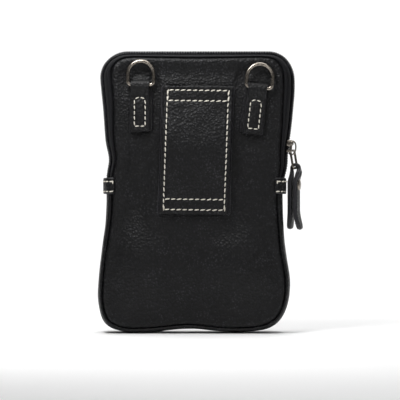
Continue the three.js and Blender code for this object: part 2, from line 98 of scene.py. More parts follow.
class Slot(Enum):
    """The record's material slots."""

    LEATHER = "black_leather"
    LINING = "lining_cloth"
    TAPE = "zip_tape"
    COIL = "zip_coil"
    THREAD = "sewing_thread"
    NICKEL = "nickel_plate"


class Side(Enum):
    """The back half of the pouch, towards -Y, or the front half, towards +Y."""

    BACK = -1
    FRONT = 1


# ------------------------------------------------------------------ small sums


def smooth(t: Array | float) -> Array | float:
    """Smoothstep: 3t^2 - 2t^3 with t held between 0 and 1.

    Args:
        t: Where the value lies between the two ends.
    Returns:
        The eased value, from 0 to 1.
    """
    t = np.clip(t, 0.0, 1.0)
    return t * t * (3.0 - 2.0 * t)


def bell(distance: Array, width: float) -> Array:
    """A Gauss bell, exp(-(d / w)^2).

    Args:
        distance: Distance from the bell's middle.
        width: Distance at which it has fallen to 1/e.
    Returns:
        The bell's height, 1 in the middle.
    """
    return np.exp(-((distance / width) ** 2))


def ripple(x: Array, z: Array, waves: int, longest: float, shortest: float, seed: int) -> Array:
    """A smooth random field: a sum of sine waves with seeded directions, lengths and phases.

    Args:
        x: First coordinate.
        z: Second coordinate.
        waves: How many waves are added.
        longest: Longest wave.
        shortest: Shortest wave.
        seed: Seed of the directions and phases.
    Returns:
        Heights that are mostly between -1 and 1.
    """
    draw = np.random.default_rng(seed)
    total = np.zeros(np.broadcast(x, z).shape)
    for k in range(waves):
        length = longest * (shortest / longest) ** (k / max(1, waves - 1))
        angle = draw.uniform(0.0, math.pi)
        phase = draw.uniform(0.0, 2.0 * math.pi)
        along = x * math.cos(angle) + z * math.sin(angle)
        total += np.sin(2.0 * math.pi * along / length + phase) * (length / longest) ** 0.6
    return total / math.sqrt(waves)


def unit(v: Array) -> Array:
    """Vectors brought to length 1 along their last axis.

    Args:
        v: Vectors.
    Returns:
        The same directions, with length 1.
    """
    return v / np.maximum(np.linalg.norm(v, axis=-1, keepdims=True), 1e-12)


def lengths_along(line: Array) -> Array:
    """Running length of a polyline at each of its points, from 0."""
    step = np.linalg.norm(np.diff(line, axis=0), axis=1)
    return np.concatenate([[0.0], np.cumsum(step)])


def sampled(at: Array, run: Array, values: Array) -> Array:
    """Reads a line's values at running lengths, straight between its points.

    Args:
        at: Running lengths to read at.
        run: Running length of each point of the line.
        values: What each point of the line has, one point in a row.
    Returns:
        One row of values for each length.
    """
    return np.stack([np.interp(at, run, values[:, k]) for k in range(values.shape[1])], axis=1)


def evenly(points: Array, count: int) -> Array:
    """Points spaced evenly along a polyline, by its running length.

    Args:
        points: The polyline, one point in a row.
        count: How many points to return.
    Returns:
        An array of count points, with both ends kept.
    """
    run = lengths_along(points)
    return sampled(np.linspace(0.0, run[-1], count), run, points)


def arc(cx: float, cy: float, rx: float, ry: float, start: float, end: float, count: int) -> Array:
    """Points of an ellipse's arc: centre plus (rx cos a, ry sin a).

    Args:
        cx: Centre, first coordinate.
        cy: Centre, second coordinate.
        rx: First radius.
        ry: Second radius.
        start: First angle, in degrees.
        end: Last angle, in degrees.
        count: Number of points.
    Returns:
        The points, one in a row.
    """
    a = np.radians(np.linspace(start, end, count))
    return np.stack([cx + rx * np.cos(a), cy + ry * np.sin(a)], axis=1)


def cubic(p0: Array, p1: Array, p2: Array, p3: Array, count: int) -> Array:
    """Points of a cubic Bezier curve.

    Args:
        p0: Start.
        p1: First handle.
        p2: Second handle.
        p3: End.
        count: Number of points.
    Returns:
        The points, one in a row.
    """
    t = np.linspace(0.0, 1.0, count)[:, None]
    s = 1.0 - t
    return s**3 * p0 + 3 * s * s * t * p1 + 3 * s * t * t * p2 + t**3 * p3


# ------------------------------------------------------------------ mesh making


def cells(at: Array) -> Array:
    """The quads between the points of a grid of point numbers, one quad in a row."""
    return np.stack([at[:-1, :-1], at[:-1, 1:], at[1:, 1:], at[1:, :-1]], axis=-1).reshape(-1, 4)


@dataclass
class MeshParts:
    """Gathers grids of points into one mesh."""

    points: list[Array] = field(default_factory=list)
    quads: list[Array] = field(default_factory=list)
    fans: list[Array] = field(default_factory=list)
    uvs: list[Array] = field(default_factory=list)
    tints: list[int] = field(default_factory=list)
    count: int = 0

    def _take(self, points: Array, uv: Array) -> int:
        """Stores points with their pattern coordinates.

        Args:
            points: Points, with 3 values in the last axis.
            uv: Pattern coordinates, with 2 values in the last axis.
        Returns:
            Index of the first point stored.
        """
        first = self.count
        self.points.append(points.reshape(-1, 3))
        self.uvs.append(uv.reshape(-1, 2))
        self.count += len(self.points[-1])
        return first

    def grid(
        self, points: Array, wrap_u: bool = False, wrap_v: bool = False,
        capped: bool = False, tint: int | Array = 0, uv: Array | None = None,
    ) -> None:
        """Adds a grid of quads, and closes its two ends with fans if asked.

        Args:
            points: Array of rows by columns by 3.
            wrap_u: Whether the last row joins the first.
            wrap_v: Whether the last column joins the first.
            capped: Whether the first and last rows are closed with a fan.
            tint: Material index of the faces, or one for each column of faces.
            uv: Pattern coordinates; the running lengths if left out.
        """
        rows, cols = points.shape[:2]
        if uv is None:
            uv = running_lengths(points)
        first = self._take(points, uv)
        at = first + np.arange(rows * cols).reshape(rows, cols)
        u = np.concatenate([at, at[:1]]) if wrap_u else at
        v = np.concatenate([u, u[:, :1]], axis=1) if wrap_v else u
        quads = cells(v)
        self.quads.append(quads)
        across = v.shape[1] - 1
        self.tints += np.tile(np.broadcast_to(tint, (across,)), len(quads) // across).tolist()
        if capped:
            for ring, row in ((v[0], 0), (v[-1], rows - 1)):
                middle = self._take(points[row].mean(axis=0)[None], uv[row].mean(axis=0)[None])
                fan = np.stack([ring[:-1], ring[1:], np.full(len(ring) - 1, middle)], axis=1)
                self.fans.append(fan)

    def copies(self, points: Array) -> None:
        """Adds many small closed shapes of one kind, each a tube of rings with a pole at both ends.

        Args:
            points: Array of copies by rings by points round a ring by 3.
        """
        count, rows, cols = points.shape[:3]
        poles = points[:, [0, -1]].mean(axis=2)
        flat = np.concatenate([points.reshape(count, -1, 3), poles], axis=1)
        round_it, along = np.meshgrid(np.linspace(0, 1, cols), np.linspace(0, 1, rows))
        length = np.linalg.norm(poles[0, 1] - poles[0, 0])
        girth = np.linalg.norm(np.diff(points[0, rows // 2], axis=0), axis=1).sum()
        uv = np.stack([along * length, round_it * girth], axis=-1).reshape(-1, 2)
        uv = np.concatenate([uv, [[0.0, 0.0], [length, 0.0]]])
        first = self._take(flat, np.tile(uv, (count, 1)))
        starts = first + np.arange(count)[:, None, None] * (rows * cols + 2)
        ring = np.arange(rows * cols).reshape(rows, cols)
        ring = np.concatenate([ring, ring[:, :1]], axis=1)
        quads = (starts + cells(ring)[None]).reshape(-1, 4)
        self.quads.append(quads)
        self.tints += [0] * len(quads)
        for k, row in enumerate((0, rows - 1)):
            pole = np.full(cols, rows * cols + k)
            fan = np.stack([ring[row, :-1], ring[row, 1:], pole], axis=1)[None]
            self.fans.append((starts + fan).reshape(-1, 3))

    def build(
        self, name: str, materials: Sequence[bpy.types.Material], cap_tint: int = 0,
    ) -> bpy.types.Object:
        """Makes the mesh object, with its faces pointing outwards and smooth.

        Args:
            name: The piece's name.
            materials: The piece's materials, in the order of the tints.
            cap_tint: Material index of the end fans.
        Returns:
            The new object, at the origin.
        """
        points = (np.concatenate(self.points) * MM).astype(np.float32)
        quads = np.concatenate(self.quads)
        fans = np.concatenate(self.fans) if self.fans else np.zeros((0, 3), int)
        corners = np.concatenate([quads.ravel(), fans.ravel()]).astype(np.int32)
        starts = np.concatenate([np.arange(len(quads)) * 4, len(quads) * 4 + np.arange(len(fans)) * 3])
        mesh = bpy.data.meshes.new(name)
        mesh.vertices.add(len(points))
        mesh.vertices.foreach_set("co", points.ravel())
        mesh.loops.add(len(corners))
        mesh.loops.foreach_set("vertex_index", corners)
        mesh.polygons.add(len(starts))
        mesh.polygons.foreach_set("loop_start", starts.astype(np.int32))
        tints = np.array(self.tints + [cap_tint] * len(fans), np.int32)
        mesh.polygons.foreach_set("material_index", tints)
        mesh.update(calc_edges=True)
        layer = mesh.uv_layers.new(name="pattern")
        uvs = (np.concatenate(self.uvs) * MM).astype(np.float32)
        layer.data.foreach_set("uv", uvs[corners].ravel())
        mesh.validate()
        for material in materials:
            mesh.materials.append(material)
        work = bmesh.new()
        work.from_mesh(mesh)
        bmesh.ops.recalc_face_normals(work, faces=work.faces)
        work.to_mesh(mesh)
        work.free()
        mesh.polygons.foreach_set("use_smooth", np.ones(len(mesh.polygons), bool))
        piece = bpy.data.objects.new(name, mesh)
        bpy.context.scene.collection.objects.link(piece)
        return piece


def running_lengths(points: Array) -> Array:
    """Pattern coordinates of a grid: the mean running length along rows and along columns.

    Args:
        points: Array of rows by columns by 3.
    Returns:
        Array of rows by columns by 2.
    """
    rows, cols = points.shape[:2]
    down = np.linalg.norm(np.diff(points, axis=0), axis=2).mean(axis=1) if rows > 1 else np.zeros(0)
    over = np.linalg.norm(np.diff(points, axis=1), axis=2).mean(axis=0) if cols > 1 else np.zeros(0)
    u = np.concatenate([[0.0], np.cumsum(down)])
    v = np.concatenate([[0.0], np.cumsum(over)])
    return np.stack(np.meshgrid(u, v, indexing="ij"), axis=-1)


def dress(
    piece: bpy.types.Object, body: Body, nodes: Sequence[str] = (),
    bend: tuple[float, float] | None = None,
) -> bpy.types.Object:
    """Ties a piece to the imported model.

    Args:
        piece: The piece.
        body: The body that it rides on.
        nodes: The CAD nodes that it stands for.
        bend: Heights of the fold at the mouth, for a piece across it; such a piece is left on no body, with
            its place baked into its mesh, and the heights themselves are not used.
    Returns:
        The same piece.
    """
    if bend is None:
        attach(piece, body.value)
    else:
        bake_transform(piece)
    if nodes:
        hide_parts(*nodes)
    LOG.info("%s: %d faces on %s", piece.name, len(piece.data.polygons), body.value)
    return piece


# ------------------------------------------------------------------ finishes


def linear(code: str) -> tuple[float, float, float, float]:
    """Turns an sRGB hex colour to linear.

    Args:
        code: Colour such as "#2a2a2d".
    Returns:
        Linear red, green, blue and an alpha of 1.
    """
    parts = [int(code[i : i + 2], 16) / 255.0 for i in (1, 3, 5)]
    r, g, b = (c / 12.92 if c <= 0.04045 else ((c + 0.055) / 1.055) ** 2.4 for c in parts)
    return (r, g, b, 1.0)


def put(
    tree: Tree, kind: str, settings: dict | None = None, links: dict | None = None,
) -> bpy.types.Node:
    """Adds one node with its settings and links.

    Args:
        tree: The node tree.
        kind: The node's type name.
        settings: Attribute or input names and their values; an input's name or index starts with "in:".
        links: Input names or indices, and the sockets that feed them.
    Returns:
        The new node.
    """
    node = tree.nodes.new(kind)
    for key, value in (settings or {}).items():
        if key.startswith("in:"):
            name = key[3:]
            node.inputs[int(name) if name.isdigit() else name].default_value = value
        else:
            setattr(node, key, value)
    for key, socket in (links or {}).items():
        tree.links.new(socket, node.inputs[key])
    return node


def ramp(tree: Tree, factor: Socket, stops: Sequence[tuple[float, str]]) -> Socket:
    """Adds a colour ramp.

    Args:
        tree: The node tree.
        factor: The socket that drives it.
        stops: Places and sRGB hex colours.
    Returns:
        The ramp's colour socket.
    """
    node = put(tree, "ShaderNodeValToRGB", links={0: factor})
    elements = node.color_ramp.elements
    while len(elements) < len(stops):
        elements.new(0.5)
    for element, (place, code) in zip(elements, stops):
        element.position = place
        element.color = linear(code)
    return node.outputs["Color"]


def spread(tree: Tree, value: Socket, low: float, high: float,
           from_low: float = 0.0, from_high: float = 1.0) -> Socket:
    """Maps a value onto a range, such as a roughness.

    Args:
        tree: The node tree.
        value: The socket to map.
        low: Result at from_low.
        high: Result at from_high.
        from_low: Lower end of the value.
        from_high: Upper end of the value.
    Returns:
        The mapped socket.
    """
    settings = {"in:1": from_low, "in:2": from_high, "in:3": low, "in:4": high}
    return put(tree, "ShaderNodeMapRange", settings, {0: value}).outputs[0]


def noise(tree: Tree, place: Socket, size_mm: float, detail: float, rough: float = 0.5) -> Socket:
    """Adds a noise with patches of a real size.

    Args:
        tree: The node tree.
        place: The socket that gives the place, in metres.
        size_mm: Size of its patches.
        detail: Octaves of finer noise.
        rough: How strong the finer octaves are.
    Returns:
        The noise, from 0 to 1.
    """
    settings = {"in:Scale": 1.0 / (size_mm * MM), "in:Detail": detail, "in:Roughness": rough}
    return put(tree, "ShaderNodeTexNoise", settings, {"Vector": place}).outputs["Fac"]


def ribs(tree: Tree, turn: float, pitch_mm: float, wander: float, detail: float = 2.0) -> Socket:
    """Adds soft parallel ribs, drawn along the piece's own pattern coordinates.

    A wave node repeats every 2 pi / 20 of its scaled coordinate.

    Args:
        tree: The node tree.
        turn: Direction of the ribs, in degrees.
        pitch_mm: Distance from one rib to the next.
        wander: How far they stray from straight.
        detail: Octaves of that straying.
    Returns:
        The ribs' height, from 0 to 1.
    """
    uv = put(tree, "ShaderNodeUVMap", {"uv_map": "pattern"}).outputs[0]
    turned = put(tree, "ShaderNodeMapping", {"in:Rotation": (0.0, 0.0, math.radians(turn))}, {"Vector": uv})
    scale = 2.0 * math.pi / 20.0 / (pitch_mm * MM)
    settings = {"in:Scale": scale, "in:Distortion": wander, "in:Detail": detail}
    return put(tree, "ShaderNodeTexWave", settings, {"Vector": turned.outputs[0]}).outputs["Fac"]


def surface(
    tree: Tree, shader: bpy.types.Node, colour: Socket, rough: Socket, height: Socket,
    relief_mm: float, strength: float,
) -> None:
    """Feeds a shader its colour, its roughness and its fine relief.

    Args:
        tree: The node tree.
        shader: The Principled shader.
        colour: Base colour.
        rough: Roughness.
        height: Height of the relief, from 0 to 1.
        relief_mm: Real depth of the relief.
        strength: How strongly the relief bends the light.
    """
    tree.links.new(colour, shader.inputs["Base Color"])
    tree.links.new(rough, shader.inputs["Roughness"])
    settings = {"in:Strength": strength, "in:Distance": relief_mm * MM}
    bump = put(tree, "ShaderNodeBump", settings, {"Height": height})
    tree.links.new(bump.outputs[0], shader.inputs["Normal"])


def start_material(name: str) -> tuple[bpy.types.Material, Tree, bpy.types.Node]:
    """Starts a node material with one Principled shader.

    Args:
        name: The material's name.
    Returns:
        The material, its tree and its shader.
    """
    material = bpy.data.materials.new(name)
    material.use_nodes = True
    tree = material.node_tree
    tree.nodes.clear()
    shader = tree.nodes.new("ShaderNodeBsdfPrincipled")
    out = tree.nodes.new("ShaderNodeOutputMaterial")
    tree.links.new(shader.outputs[0], out.inputs[0])
    return material, tree, shader


@dataclass(frozen=True)
class GrainedLeather:
    """Drum-dyed cow leather with a soft pebbled grain and a semi-matt finish.

    The grain is small rounded cells with painted shade darkening the creases between them. The raised cells
    are painted lighter, partly as rubbing by use and partly as painted highlight, in a neutral grey mottling
    over the near-black dye.
    """

    name: str = "grained_cow_leather"
    # The darkest colour is painted shade for the grain's hollows; the lightest is partly rubbing by use and
    # partly painted highlight on the raised cells.
    crease_shade: str = "#020203"
    dye: str = "#0a0a0d"
    worn_and_highlit: str = "#313134"
    cell_mm: float = 1.45
    fine_mm: float = 0.5
    mottle_mm: float = 14.0
    roughness: float = 0.4
    relief_mm: float = 0.28
    warp_mm: float = 9.0
    warp_by: Point = (0.0022, 0.0022, 0.0022)

    def make(self) -> bpy.types.Material:
        """Builds the material.

        Returns:
            The leather.
        """
        material, tree, shader = start_material(self.name)
        place = put(tree, "ShaderNodeTexCoord").outputs["Object"]
        # The cells are stretched and bent by a slow noise, so that no two rows line up.
        settings = {"in:Scale": 1.0 / (self.warp_mm * MM), "in:Detail": 2.0}
        warp = put(tree, "ShaderNodeTexNoise", settings, {"Vector": place})
        settings = {"operation": "MULTIPLY_ADD", "in:1": self.warp_by}
        links = {0: warp.outputs["Color"], 2: place}
        bent = put(tree, "ShaderNodeVectorMath", settings, links).outputs[0]
        settings = {"feature": "SMOOTH_F1", "in:Scale": 1.0 / (self.cell_mm * MM), "in:Smoothness": 0.6}
        grain_cells = put(tree, "ShaderNodeTexVoronoi", settings, {"Vector": bent}).outputs["Distance"]
        fine = noise(tree, place, self.fine_mm, 3.0, 0.6)
        mottle = noise(tree, place, self.mottle_mm, 4.0, 0.65)
        # Height: cells rise in their middles, and fine pores roughen them.
        raised = spread(tree, grain_cells, 1.0, 0.0, 0.05, 0.75)
        settings = {"operation": "MULTIPLY_ADD", "in:1": 0.35}
        height = put(tree, "ShaderNodeMath", settings, {0: fine, 2: raised}).outputs[0]
        # Colour: painted shade in the hollows, the dye between, and lighter where a raised cell meets a light
        # patch, partly as rubbing by use and partly as painted highlight.
        wear_and_highlight = put(tree, "ShaderNodeMath", {"operation": "MULTIPLY"}, {0: raised, 1: mottle}).outputs[0]
        colour = ramp(tree, wear_and_highlight, [(0.08, self.crease_shade), (0.34, self.dye), (0.62, self.worn_and_highlit)])
        rough = spread(tree, wear_and_highlight, self.roughness + 0.12, self.roughness - 0.08, 0.1, 0.6)
        surface(tree, shader, colour, rough, height, self.relief_mm, 1.0)
        shader.inputs["IOR"].default_value = 1.5
        shader.inputs["Specular IOR Level"].default_value = 0.27
        return material


@dataclass(frozen=True)
class PaintedEdge:
    """A leather's cut edge, sealed with black edge paint: smoother than the grain, with fine runs."""

    name: str = "painted_leather_edge"
    paint: str = "#1d1d20"
    rubbed: str = "#302f34"
    run_mm: float = 0.7
    roughness: float = 0.42

    def make(self) -> bpy.types.Material:
        """Builds the material.

        Returns:
            The painted edge.
        """
        material, tree, shader = start_material(self.name)
        place = put(tree, "ShaderNodeTexCoord").outputs["Object"]
        runs = noise(tree, place, self.run_mm, 2.0)
        colour = ramp(tree, runs, [(0.3, self.paint), (0.75, self.rubbed)])
        rough = spread(tree, runs, self.roughness - 0.06, self.roughness + 0.1, 0.3, 0.7)
        surface(tree, shader, colour, rough, runs, 0.06, 0.4)
        return material


@dataclass(frozen=True)
class WovenCloth:
    """A plain or herringbone weave: matt, with painted shade in the gaps between the yarns and a little fuzz.
    """

    name: str
    yarn: str
    # Colour of the painted shade in the gaps between the yarns.
    gap: str
    pitch_mm: float
    herringbone: bool
    roughness: float = 0.85
    fuzz_mm: float = 1.2

    def make(self) -> bpy.types.Material:
        """Builds the material.

        Returns:
            The cloth.
        """
        material, tree, shader = start_material(self.name)
        turns = (45.0, -45.0) if self.herringbone else (0.0, 90.0)
        first, second = (ribs(tree, turn, self.pitch_mm, 0.4, 1.0) for turn in turns)
        height = put(tree, "ShaderNodeMath", {"operation": "MAXIMUM"}, {0: first, 1: second}).outputs[0]
        uv = put(tree, "ShaderNodeUVMap", {"uv_map": "pattern"}).outputs[0]
        fuzz = noise(tree, uv, self.fuzz_mm, 3.0)
        shade = put(tree, "ShaderNodeMath", {"operation": "MULTIPLY"}, {0: height, 1: fuzz}).outputs[0]
        # The gaps between the yarns, where the ribs are low, are painted darker as shade.
        colour = ramp(tree, shade, [(0.1, self.gap), (0.6, self.yarn)])
        rough = spread(tree, fuzz, self.roughness - 0.1, self.roughness + 0.08)
        surface(tree, shader, colour, rough, height, 0.12, 0.8)
        shader.inputs["Specular IOR Level"].default_value = 0.15
        return material


@dataclass(frozen=True)
class NylonCoil:
    """Black nylon monofilament, drawn and heat-set: satin, a little lighter where it is scuffed."""

    name: str = "nylon_monofilament"
    base: str = "#08080a"
    scuff: str = "#333338"
    scuff_mm: float = 0.8

    def make(self) -> bpy.types.Material:
        """Builds the material.

        Returns:
            The nylon.
        """
        material, tree, shader = start_material(self.name)
        place = put(tree, "ShaderNodeTexCoord").outputs["Object"]
        scuffs = noise(tree, place, self.scuff_mm, 3.0)
        colour = ramp(tree, scuffs, [(0.4, self.base), (0.75, self.scuff)])
        rough = spread(tree, scuffs, 0.28, 0.46, 0.3, 0.7)
        surface(tree, shader, colour, rough, scuffs, 0.04, 0.3)
        shader.inputs["IOR"].default_value = 1.53
        shader.inputs["Specular IOR Level"].default_value = 0.3
        return material


@dataclass(frozen=True)
class WaxedThread:
    """Ivory waxed polyester thread: three plies twisted together, with painted shade in the grooves between
    them.
    """

    name: str = "waxed_polyester_thread"
    ply: str = "#ebe6da"
    # Colour of the painted shade in the grooves between the plies.
    between: str = "#a59f90"
    twist_mm: float = 0.55
    lay: float = 38.0

    def make(self) -> bpy.types.Material:
        """Builds the material.

        Returns:
            The thread.
        """
        material, tree, shader = start_material(self.name)
        plies = ribs(tree, self.lay, self.twist_mm, 0.3)
        # The grooves between the plies, where the ribs are low, are painted darker as shade.
        colour = ramp(tree, plies, [(0.05, self.between), (0.4, self.ply)])
        rough = spread(tree, plies, 0.7, 0.5)
        surface(tree, shader, colour, rough, plies, 0.08, 0.6)
        shader.inputs["Sheen Weight"].default_value = 0.2
        return material


@dataclass(frozen=True)
class NickelPlate:
    """Bright nickel on cast zinc or steel wire: a warm silver with faint polishing haze and rubs."""

    name: str = "bright_nickel_plate"
    bright: str = "#a8a096"
    haze: str = "#736c63"
    rub_mm: float = 1.1
    roughness: float = 0.2

    def make(self) -> bpy.types.Material:
        """Builds the material.

        Returns:
            The plated metal.
        """
        material, tree, shader = start_material(self.name)
        place = put(tree, "ShaderNodeTexCoord").outputs["Object"]
        rubs = noise(tree, place, self.rub_mm, 4.0, 0.7)
        colour = ramp(tree, rubs, [(0.3, self.haze), (0.65, self.bright)])
        rough = spread(tree, rubs, self.roughness + 0.16, self.roughness - 0.03, 0.3, 0.7)
        surface(tree, shader, colour, rough, rubs, 0.03, 0.15)
        shader.inputs["Metallic"].default_value = 1.0
        return material


@dataclass
class Finishes:
    """Every material of the pouch, made once."""

    leather: bpy.types.Material = field(default_factory=lambda: GrainedLeather().make())
    edge: bpy.types.Material = field(default_factory=lambda: PaintedEdge().make())
    lining: bpy.types.Material = field(
        default_factory=lambda: WovenCloth("plain_woven_lining", "#242529", "#0e0f11", 0.9, False).make()
    )
    tape: bpy.types.Material = field(
        default_factory=lambda: WovenCloth("herringbone_zip_tape", "#202023", "#060607", 1.1, True).make()
    )
    coil: bpy.types.Material = field(default_factory=lambda: NylonCoil().make())
    thread: bpy.types.Material = field(default_factory=lambda: WaxedThread().make())
    nickel: bpy.types.Material = field(default_factory=lambda: NickelPlate().make())

    @property
    def leathers(self) -> list[bpy.types.Material]:
        """The grain for a strap's faces, then the paint for its cut edges."""
        return [self.leather, self.edge]


# ------------------------------------------------------------------ swept shapes


def strip(
    path: Array, across: Array, width: Array | float, thick: Array | float, corner: float = 2.0,
    layers: int = 1, edge: float = 0.45, crown: float = 0.1, sides: int = 60, soft: float = 0.7,
) -> Array:
    """A flat strap along a path: its cut is a slab with a rounded edge to each layer of leather.

    A point of the cut is across * w + face * h. On a face, h is the half thickness times
    1 - crown (2w / width)^4; on an edge, w pulls in by edge (1 - sqrt(1 - q^2)), q running from
    -1 to 1 over each layer. Towards the ends of the path the width follows a corner arc and the
    thickness closes like a quarter ellipse.

    Args:
        path: Middle line, rows by 3.
        across: Unit vectors across the strap, rows by 3 or just 3.
        width: Width, or one for each row.
        thick: Thickness, or one for each row.
        corner: Corner radius at the ends.
        layers: Number of layers that the edge shows.
        edge: How far each layer's edge is rounded.
        crown: Share of the thickness that the sides lose.
        sides: Points across one face.
        soft: Length over which the thickness closes at the ends.
    Returns:
        Grid of rows by columns by 3; a row is one closed cut.
    """
    rows = len(path)
    across = unit(np.broadcast_to(across, (rows, 3)))
    tangent = unit(np.gradient(path, axis=0))
    face = unit(np.cross(tangent, across))
    run = lengths_along(path)
    near = np.minimum(run, run[-1] - run)
    width = np.broadcast_to(np.asarray(width, float), (rows,))
    thick = np.broadcast_to(np.asarray(thick, float), (rows,))
    pull_in = corner * (1.0 - np.sqrt(1.0 - np.clip(1.0 - near / max(corner, 1e-6), 0.0, 0.995) ** 2))
    half = width / 2.0 - pull_in
    close = np.sqrt(1.0 - np.clip(1.0 - near / soft, 0.0, 0.985) ** 2)
    flat = np.linspace(-1.0, 1.0, sides)
    turns = 8 * layers + 1
    down = np.linspace(1.0, -1.0, turns)[1:-1]
    q = ((down + 1.0) / 2.0 * layers) % 1.0 * 2.0 - 1.0
    inward = edge * (1.0 - np.sqrt(np.clip(1.0 - q**2, 0.0, 1.0)))
    # Round the cut: top face from left to right, right edge down, bottom face back, left edge up.
    w = np.concatenate([flat, np.ones(len(down)), flat[::-1], -np.ones(len(down))])
    h = np.concatenate([np.ones(sides), down, -np.ones(sides), down[::-1]])
    at_corner = np.full(sides, edge) * (np.abs(flat) > 0.999)
    less = np.concatenate([at_corner, inward, at_corner, inward[::-1]])
    w_mm = half[:, None] * w - np.sign(w) * less
    h_mm = thick[:, None] / 2.0 * close[:, None] * h * (1.0 - crown * w**4)
    return path[:, None] + across[:, None] * w_mm[..., None] + face[:, None] * h_mm[..., None]


def edge_tints(sides: int, layers: int = 1) -> Array:
    """Material index of each column of a strip: 0 on its two faces, 1 on its cut edges.

    Args:
        sides: Points across one face, as given to strip().
        layers: Number of layers, as given to strip().
    Returns:
        One index for each column of faces.
    """
    face, edge = np.zeros(sides - 1, int), np.ones(8 * layers, int)
    return np.concatenate([face, edge, face, edge])


def wire(path: Array, radius: float, closed: bool, round_it: int = 14, hint: Array | None = None) -> Array:
    """A round wire along a path: each cut is a circle across the path's tangent.

    Args:
        path: Middle line, rows by 3.
        radius: The wire's radius.
        closed: Whether the path is a closed loop.
        round_it: Points round the wire.
        hint: A direction that is never along the path; +Y if left out.
    Returns:
        Grid of rows by columns by 3.
    """
    hint = DEEP if hint is None else hint
    if closed:
        tangent = unit(np.roll(path, -1, axis=0) - np.roll(path, 1, axis=0))
    else:
        tangent = unit(np.gradient(path, axis=0))
    side = unit(np.cross(tangent, hint))
    up = unit(np.cross(side, tangent))
    a = np.linspace(0.0, 2.0 * math.pi, round_it, endpoint=False)
    ring = side[:, None] * np.cos(a)[None, :, None] + up[:, None] * np.sin(a)[None, :, None]
    return path[:, None] + radius * ring


def capsules(
    centres: Array, along: Array, up: Array, length: Array | float, width: float, height: float,
    rings: int = 7, round_it: int = 8, power: float = 2.6,
) -> Array:
    """Small pillow-shaped rods: superellipsoids, |a/L|^p + |w/W|^2 + |h/H|^2 = 1.

    Args:
        centres: Middles, count by 3.
        along: Unit vectors along the rods, count by 3.
        up: Unit vectors away from the surface, count by 3.
        length: Full length, or one for each rod.
        width: Full width.
        height: Full height.
        rings: Rings along a rod.
        round_it: Points round a rod.
        power: Power p of the long axis; higher is squarer at the ends.
    Returns:
        Array of count by rings by round_it by 3.
    """
    count = len(centres)
    along = unit(np.broadcast_to(along, (count, 3)))
    up = np.broadcast_to(up, (count, 3))
    up = unit(up - along * np.sum(up * along, axis=1, keepdims=True))
    side = np.cross(along, up)
    length = np.broadcast_to(np.asarray(length, float), (count,))
    t = np.sin(np.linspace(-0.5, 0.5, rings) * math.pi * 0.93)
    fat = np.sqrt(np.clip(1.0 - np.abs(t) ** power, 0.0, 1.0))
    a = np.linspace(0.0, 2.0 * math.pi, round_it, endpoint=False)
    reach = t[None, :, None] * length[:, None, None] / 2
    out = centres[:, None, None] + along[:, None, None] * reach[..., None]
    out = out + side[:, None, None] * (width / 2 * fat[:, None] * np.cos(a))[None, ..., None]
    return out + up[:, None, None] * (height / 2 * fat[:, None] * np.sin(a))[None, ..., None]


def seam(line: Array, up: Array, pitch: float, thread: float, slant: float = 8.0, fill: float = 0.8) -> Array:
    """A row of stitches along a line that lies on the leather.

    Args:
        line: The seam, points by 3.
        up: Unit vectors out of the leather, points by 3 or just 3.
        pitch: Distance from one needle hole to the next.
        thread: Thread thickness.
        slant: Lean of each stitch to the seam, in degrees.
        fill: Share of the pitch that a stitch spans.
    Returns:
        Capsules, as from capsules().
    """
    run = lengths_along(line)
    count = max(1, round(run[-1] / pitch))
    real = run[-1] / count
    at = (np.arange(count) + 0.5) * real
    up = np.broadcast_to(up, line.shape)
    spot = sampled(at, run, line)
    ahead = sampled(at + 0.4 * real, run, line)
    behind = sampled(at - 0.4 * real, run, line)
    out = unit(sampled(at, run, up))
    along = unit(ahead - behind)
    side = np.cross(out, along)
    draw = np.random.default_rng(int(run[-1] * 10) + SEED)
    lean = np.radians(slant + draw.normal(0.0, 2.5, count))[:, None]
    along = along * np.cos(lean) + side * np.sin(lean)
    lengths = real * fill * draw.uniform(0.93, 1.05, count)
    return capsules(spot, along, out, lengths, thread, thread * 0.8)


# ------------------------------------------------------------------ the pouch's edge


